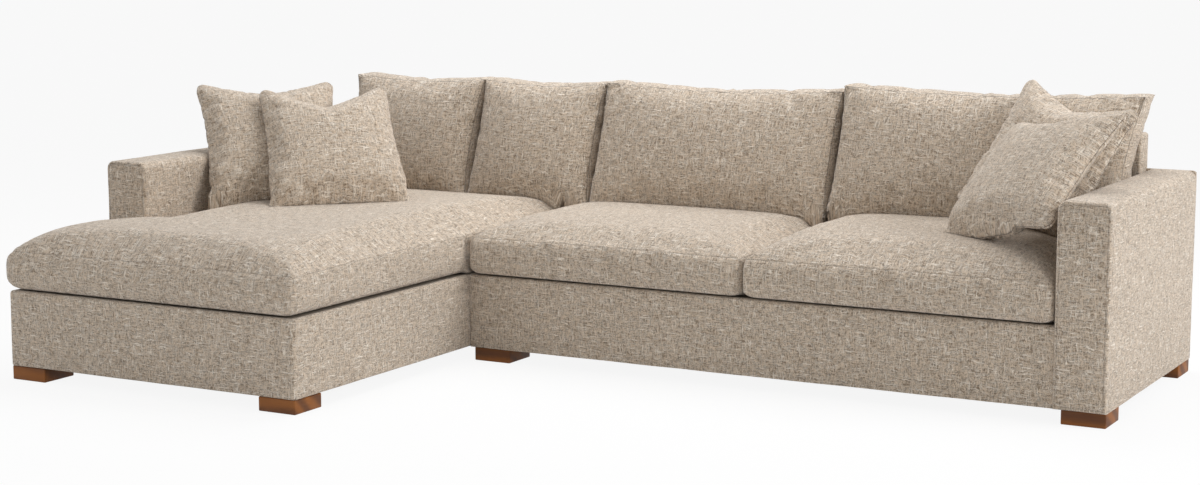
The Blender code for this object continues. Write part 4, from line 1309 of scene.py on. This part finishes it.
@dataclass
class ThrowPillow(Cushion):
    """A knife-edged square pillow with a dent chopped in its top."""

    turn: float = 0.0
    lean: float = 0.0
    roll: float = 0.0
    chop: float = 0.020
    width: float = 0.490
    height: float = 0.450
    front_fill: float = 0.070
    rear_fill: float = 0.032
    seam_half: float = 0.006
    draw_in: float = 0.024
    foot_draw_in: float = 0.008
    pinch_share: float = 0.5
    fill_power: float = 0.62
    chop_reach: float = 0.85
    ear_round: float = 0.034
    side_power: float = 2.6
    tuck: float = 0.007
    tuck_place: float = 0.76
    tuck_reach: float = 0.11
    pucker: float = 0.0052
    pucker_reach: float = 0.034
    pucker_start: float = 0.006
    pucker_waves: Span = (3.0, 52.0)
    arc_steps: int = 96
    rear_shift: float = 5.3
    cuts: tuple[int, int, int] = (50, 1, 48)

    def puckers(self, place: Vector) -> float:
        """Height of the short folds that the side seams draw in the cloth."""
        gap = self.width / 2 - abs(place.x)
        share = math.exp(-gap / self.pucker_reach) * (1 - math.exp(-gap / self.pucker_start))
        across, up = self.pucker_waves
        folds = noise.noise(Vector((place.x * across, self.turn + self.lean, place.z * up)))
        return self.pucker * share * folds

    def stretch_cloth(self, shape: Shape) -> None:
        """Lay the cloth again by its length over the swell, so that the weave keeps its size."""
        layer = shape.loops.layers.uv[CLOTH_MAP]
        over = [0.0]
        steps = self.arc_steps
        heights = [self.front_fill * hump(i / steps, self.side_power) ** self.fill_power
                   for i in range(steps + 1)]
        for first, second in zip(heights, heights[1:]):
            over.append(over[-1] + math.hypot(self.width / 2 / steps, first - second))

        def along(place: float, half: float) -> float:
            """Length over the swell from the middle to a place."""
            share = min(1.0, abs(place) / half) * steps
            low = min(steps - 1, int(share))
            return math.copysign(over[low] + (over[low + 1] - over[low]) * (share - low), place)
        for face in shape.faces:
            shift = self.rear_shift if face.calc_center_median().y > 0 else self.turn
            for loop in face.loops:
                x, _, z = loop.vert.co
                loop[layer].uv = (along(x, self.width / 2) + shift,
                                  along(z - self.height / 2, self.height / 2) + self.lean)

    def ear(self, place: Vector) -> tuple[float, float]:
        """How far the blunt corners bring a spot in, across and up."""
        a = max(0.0, 1 - (self.width / 2 - abs(place.x)) / self.ear_round)
        b = max(0.0, 1 - (self.height / 2 - abs(place.z)) / self.ear_round)
        return (self.ear_round * a * (1 - math.sqrt(1 - b * b / 2)),
                self.ear_round * b * (1 - math.sqrt(1 - a * a / 2)))

    def form(self) -> Shape:
        """Shape the pillow, turn it and lean it where its solid stands."""
        shape = gridded(Vector((self.width, 2 * self.seam_half, self.height)), self.cuts)
        shape.normal_update()
        self.lay_out(SHOP, shape, lambda edge: lies_at(edge, "y", 0.0))
        self.sew(shape)
        for vert in shape.verts:
            u, s = 2 * vert.co.x / self.width, 2 * vert.co.z / self.height
            side = vert.co.y / self.seam_half
            filled = (hump(u, self.side_power) * hump(s, self.side_power)) ** self.fill_power
            folds = self.puckers(vert.co)
            front = -self.seam_half - self.front_fill * filled - folds
            rear = self.seam_half + self.rear_fill * filled + folds
            dent = self.chop * ((s + 1) / 2) ** 3
            ear_x, ear_z = self.ear(vert.co)
            tuck = self.tuck * math.exp(-((s + self.tuck_place) / self.tuck_reach) ** 2) * abs(u) ** 4
            x = u * (self.width / 2 - self.draw_in * hump(s) - self.pinch_share * dent - tuck)
            x -= math.copysign(ear_x, u)
            draw_in = self.draw_in if s > 0 else self.foot_draw_in
            z = s * (self.height / 2 - draw_in * hump(u)) + self.height / 2
            z -= dent * max(0.0, 1 - abs(u) / self.chop_reach) + math.copysign(ear_z, s)
            vert.co = (x, front + (rear - front) * (side + 1) / 2, z)
        self.stretch_cloth(shape)
        place = Matrix.Rotation(self.turn, 4, "Z") @ Matrix.Rotation(-self.lean, 4, "X")
        place = place @ Matrix.Rotation(self.roll, 4, "Y")
        bmesh.ops.transform(shape, matrix=place, verts=shape.verts)
        self.settle_on(shape)
        return shape


@dataclass
class FillingTable:
    """Where all of the loose cushions are filled together, in one run of the cloth simulation."""

    cushions: list[Cushion]
    frames: int = 20
    clearance: float = 0.0022
    rest_gap: float = 0.0008
    drape_height: float = 0.075
    drape_reach: float = 0.070
    drape_haste: float = 1.6
    look_reach: float = 0.08

    def fill(self, shop: Workshop) -> None:
        """Form every cushion, fill it, and cap how far the filling moved it."""
        formed = []
        for cushion in self.cushions:
            shape = cushion.form()
            layer = shape.verts.layers.float[SEAM_MARK]
            holds = [cushion.held(v.co, v[layer]) for v in shape.verts]
            made = shop.make(cushion.node.replace("cushion", "filled").replace("pillow", "throw"),
                             shape, sharp=75.0)
            formed.append((cushion, made, holds, [v.co.copy() for v in made.data.vertices]))
        self.swell(formed)
        near = self.neighbours()
        for cushion, made, _, first in formed:
            self.cap(cushion, made, first, near[cushion.node])
        seats = tree_over(made for cushion, made, _, _ in formed
                          if isinstance(cushion, SeatCushion))
        for cushion, made, _, _ in formed:
            boxed = isinstance(cushion, SeatCushion)
            if not boxed:
                self.drape(made, seats)
            # leaning cushions and pillows take the tweed with the stronger painted seam shade
            shop.fit(made, cushion.body, [cushion.node],
                     shop.finishes.tweed if boxed else shop.finishes.sewn)
            log.info("%s filled", made.name)

    def swell(self, formed: list[tuple[Cushion, bpy.types.Object, list[float], list[Vector]]]) -> None:
        """Run the cloth simulation on every cushion at once and keep its result."""
        for cushion, made, holds, _ in formed:
            group = made.vertex_groups.new(name="held")
            for index, share in enumerate(holds):
                if share > 0:
                    group.add([index], share, "REPLACE")
            cloth = made.modifiers.new("swell", "CLOTH")
            rules = cloth.settings
            rules.use_pressure = True
            rules.uniform_pressure_force = cushion.filling.pressure
            rules.effector_weights.gravity = 0.0
            rules.vertex_group_mass = "held"
            rules.shrink_min = -cushion.filling.growth
            rules.tension_stiffness = cushion.filling.stiffness
            rules.compression_stiffness = cushion.filling.stiffness
            rules.bending_stiffness = cushion.filling.bending
            cloth.collision_settings.use_collision = False
            cloth.point_cache.frame_start = 1
            cloth.point_cache.frame_end = self.frames
        scene = bpy.context.scene
        for number in range(1, self.frames + 1):
            scene.frame_set(number)
        graph = bpy.context.evaluated_depsgraph_get()
        moved = {}
        for _, made, _, _ in formed:
            moved[made.name] = [v.co.copy() for v in made.evaluated_get(graph).data.vertices]
        for _, made, _, _ in formed:
            made.modifiers.clear()
            made.vertex_groups.clear()
            for vert, place in zip(made.data.vertices, moved[made.name]):
                vert.co = place
        scene.frame_set(1)

    def neighbours(self) -> dict[str, BVHTree]:
        """A search tree over every solid but its own, for each cushion."""
        return {cushion.node: tree_over(node for name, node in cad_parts.items()
                                        if name != cushion.node)
                for cushion in self.cushions}

    def drape(self, made: bpy.types.Object, seats: BVHTree) -> None:
        """Let the foot of a leaning cushion sink on to the seats, as its weight makes it."""
        foot = min(v.co.z for v in made.data.vertices)
        down = Vector((0.0, 0.0, -1.0))
        for vert in made.data.vertices:
            share = 1 - (vert.co.z - foot) / self.drape_height
            if share <= 0:
                continue
            hit = seats.ray_cast(vert.co, down, self.drape_reach)
            if hit[0] is not None:
                vert.co.z -= max(0.0, hit[3] - self.rest_gap) * min(1.0, share * self.drape_haste) ** 2
        made.data.update()

    def cap(self, cushion: Cushion, made: bpy.types.Object, first: list[Vector],
            near: BVHTree) -> None:
        """Keep each spot near where it began, and clear of what stands beside it."""
        normals = [v.normal.copy() for v in made.data.vertices]
        for vert, start, normal in zip(made.data.vertices, first, normals):
            step = vert.co - start
            if step.length > cushion.filling.reach:
                step *= cushion.filling.reach / step.length
            found = near.find_nearest(start, self.look_reach)
            room = cushion.filling.proud
            if found[0] is not None:
                room = min(room, max(0.0, (found[3] - self.clearance) / 2))
            outward = step.dot(normal)
            if outward > room:
                step -= normal * (outward - room)
            vert.co = start + step
        made.data.update()


@dataclass(frozen=True)
class SoftLamp:
    """A large soft studio light, out of the picture."""

    name: str
    place: tuple[float, float, float]
    aim: tuple[float, float, float]
    width: float
    power: float

    def hang(self) -> None:
        """Hang the light and turn it to its aim."""
        lamp = bpy.data.lights.new(self.name, "AREA")
        lamp.shape = "SQUARE"
        lamp.size = self.width
        lamp.energy = self.power
        made = bpy.data.objects.new(self.name, lamp)
        made.location = self.place
        heading = Vector(self.aim) - Vector(self.place)
        made.rotation_euler = heading.to_track_quat("-Z", "Y").to_euler()
        bpy.context.scene.collection.objects.link(made)


@dataclass
class Studio:
    """The pale floor, the soft light and the camera of the photograph."""

    camera_place: tuple[float, float, float] = (3.2425, -5.9536, 1.3966)
    camera_turn: tuple[float, float, float] = (81.79, 0.0, 28.706)
    lens: float = 66.49
    sensor: float = 36.0
    far: float = 200.0
    sky: float = 0.50
    white: Colour = tint(1.0, 1.0, 1.0)
    floor_colour: Colour = tint(0.80, 0.80, 0.80)
    floor_glow: float = 0.90
    floor_half: float = 40.0
    lamps: tuple[SoftLamp, ...] = (
        SoftLamp("key", (5.4, 0.6, 2.9), (0.0, 0.0, 0.3), 2.6, 170.0),
        SoftLamp("top", (-0.4, 1.5, 3.7), (-0.2, 0.1, 0.3), 3.0, 115.0),
        SoftLamp("front", (-2.2, -5.2, 2.0), (-0.4, 0.0, 0.3), 3.2, 34.0),
    )

    def build(self) -> None:
        """Set everything up round the sofa."""
        self.set_camera()
        self.lay_floor()
        self.set_sky()
        for lamp in self.lamps:
            lamp.hang()
        bpy.context.scene.view_settings.view_transform = "Standard"

    def set_camera(self) -> None:
        """Put the camera where the photograph was taken."""
        data = bpy.data.cameras.new("photo_view")
        data.lens = self.lens
        data.sensor_width = self.sensor
        data.clip_end = self.far
        made = bpy.data.objects.new("photo_view", data)
        made.location = self.camera_place
        made.rotation_euler = [math.radians(angle) for angle in self.camera_turn]
        bpy.context.scene.collection.objects.link(made)
        bpy.context.scene.camera = made

    def lay_floor(self) -> None:
        """A wide pale floor that keeps the sofa's shadow."""
        shape = bmesh.new()
        bmesh.ops.create_grid(shape, x_segments=1, y_segments=1, size=self.floor_half)
        mesh = bpy.data.meshes.new("floor")
        shape.to_mesh(mesh)
        shape.free()
        floor = bpy.data.objects.new("floor", mesh)
        bpy.context.scene.collection.objects.link(floor)
        bench = Bench("floor_white")
        matt = bench.node("ShaderNodeBsdfDiffuse", None, {"Color": self.floor_colour})
        glow = bench.node("ShaderNodeEmission", None, {"Color": self.white, "Strength": 1.0})
        rays = bench.node("ShaderNodeLightPath")
        seen = bench.maths("MAXIMUM", Reading(bench, rays.outputs["Is Camera Ray"]),
                           Reading(bench, rays.outputs["Is Glossy Ray"]))
        seen = bench.maths("MAXIMUM", seen, Reading(bench, rays.outputs["Is Transmission Ray"]))
        mixed = bench.node("ShaderNodeMixShader", None,
                           {0: seen * self.floor_glow, 1: matt.outputs[0], 2: glow.outputs[0]})
        bench.feed(bench.output.inputs["Surface"], mixed.outputs[0])
        mesh.materials.append(bench.material)

    def set_sky(self) -> None:
        """An even sky that is white where the camera sees it."""
        world = bpy.data.worlds.new("sky")
        world.use_nodes = True
        tree = world.node_tree
        tree.nodes.clear()
        rays = tree.nodes.new("ShaderNodeLightPath")
        level = tree.nodes.new("ShaderNodeMapRange")
        level.inputs["To Min"].default_value = self.sky
        level.inputs["To Max"].default_value = 1.0
        light = tree.nodes.new("ShaderNodeBackground")
        light.inputs["Color"].default_value = self.white
        out = tree.nodes.new("ShaderNodeOutputWorld")
        tree.links.new(rays.outputs["Is Camera Ray"], level.inputs["Value"])
        tree.links.new(level.outputs["Result"], light.inputs["Strength"])
        tree.links.new(light.outputs[0], out.inputs["Surface"])
        bpy.context.scene.world = world


@dataclass
class InnerWorks:
    """The timber, springs, hooks and linings inside, which keep their solids."""

    def dress(self, finishes: Finishes) -> None:
        """Give each inner node the finish of its slot."""
        for name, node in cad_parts.items():
            finish = self.finish_for(name, finishes)
            if finish is not None:
                node.data.materials.clear()
                node.data.materials.append(finish)

    def finish_for(self, name: str, finishes: Finishes) -> bpy.types.Material | None:
        """The finish of an inner node, or None where a piece replaces it."""
        if name.endswith("_deck"):
            return finishes.deck
        if name.endswith("_dust_cover"):
            return finishes.dust
        if "springs" in name or name.endswith("_hook"):
            return finishes.steel
        if name.endswith(("_rail", "_board")):
            low, high = box_of(name)
            size = high - low
            return finishes.timber[Grain(max(range(3), key=lambda axis: size[axis]))]
        return None


SEAT_FOAM = Filling(pressure=3.0, growth=0.01, reach=0.024, proud=0.006)
BACK_FIBRE = Filling(pressure=3.5, growth=0.025, reach=0.026, proud=0.008)
PILLOW_DOWN = Filling(pressure=3.0, growth=0.035, reach=0.022, proud=0.008, stiffness=8.0, bending=0.3)


def loose_cushions() -> list[Cushion]:
    """Every loose cushion, from the seats up."""
    def degrees(*angles: float) -> dict[str, float]:
        """Turn, lean and roll of a pillow."""
        return dict(zip(("turn", "lean", "roll"), map(math.radians, angles)))
    return [
        ChaiseCushion("chaise_seat_cushion", "chaise_seat", 0.8, SEAT_FOAM, crown=0.074),
        SeatCushion("seat_cushion_left", "left_seat", 0.8, SEAT_FOAM, crown=0.056),
        SeatCushion("seat_cushion_right", "right_seat", 0.8, SEAT_FOAM, crown=0.078),
        BackCushion("back_cushion_chaise_outer", "chaise_outer_back", 0.65, BACK_FIBRE,
                    spill_side=-1),
        BackCushion("back_cushion_chaise_inner", "chaise_inner_back", 0.65, BACK_FIBRE),
        BackCushion("back_cushion_left_seat", "left_seat_back", 0.65, BACK_FIBRE),
        BackCushion("back_cushion_right_seat", "right_seat_back", 0.65, BACK_FIBRE,
                    spill_side=1),
        ThrowPillow("pillow_left_rear", "left_rear_pillow", 0.55, PILLOW_DOWN,
                    **degrees(48.0, 34.0, 0.0), chop=0.020),
        ThrowPillow("pillow_left_front", "left_front_pillow", 0.55, PILLOW_DOWN,
                    **degrees(48.0, 37.0, 0.0), chop=0.055),
        ThrowPillow("pillow_right_rear", "right_rear_pillow", 0.55, PILLOW_DOWN,
                    **degrees(-20.0, 31.0, 11.0), chop=0.040),
        ThrowPillow("pillow_right_front", "right_front_pillow", 0.55, PILLOW_DOWN,
                    **degrees(-40.0, 46.0, -12.0), chop=0.012),
    ]


def build_frame_covers(shop: Workshop) -> None:
    """Every upholstered piece that is fixed to a module."""
    deck_floor = box_of("sofa_deck")[0].z
    arm_top = box_of("right_arm_cover")[1].z
    covers = [
        Arm("right_arm", "sofa_module", 1, deck_floor),
        Arm("left_arm", "chaise_module", -1, deck_floor),
        Border("sofa_front_border_left", "sofa_module"),
        Border("sofa_front_border_right", "sofa_module"),
        ChaiseSkirt(),
        Back("sofa", "sofa_module", 1, arm_top),
        Back("chaise", "chaise_module", -1, arm_top),
        FlatPanel("sofa_left_side_panel", "sofa_module"),
    ]
    for place in ("front_left", "front_right", "rear_left", "rear_right"):
        for module in ("sofa", "chaise"):
            covers.append(Foot(f"{module}_foot_{place}", f"{module}_module"))
    for cover in covers:
        cover.build(shop)
        log.info("%s built", type(cover).__name__)


SHOP = Workshop(Finishes.mixed())


def main() -> None:
    """Build the sofa's looks in order, from the studio to the loose cushions."""
    logging.basicConfig(level=logging.INFO, format="%(name)s: %(message)s")
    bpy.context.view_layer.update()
    Studio().build()
    InnerWorks().dress(SHOP.finishes)
    build_frame_covers(SHOP)
    FillingTable(loose_cushions()).fill(SHOP)


if __name__ == "__main__":
    main()
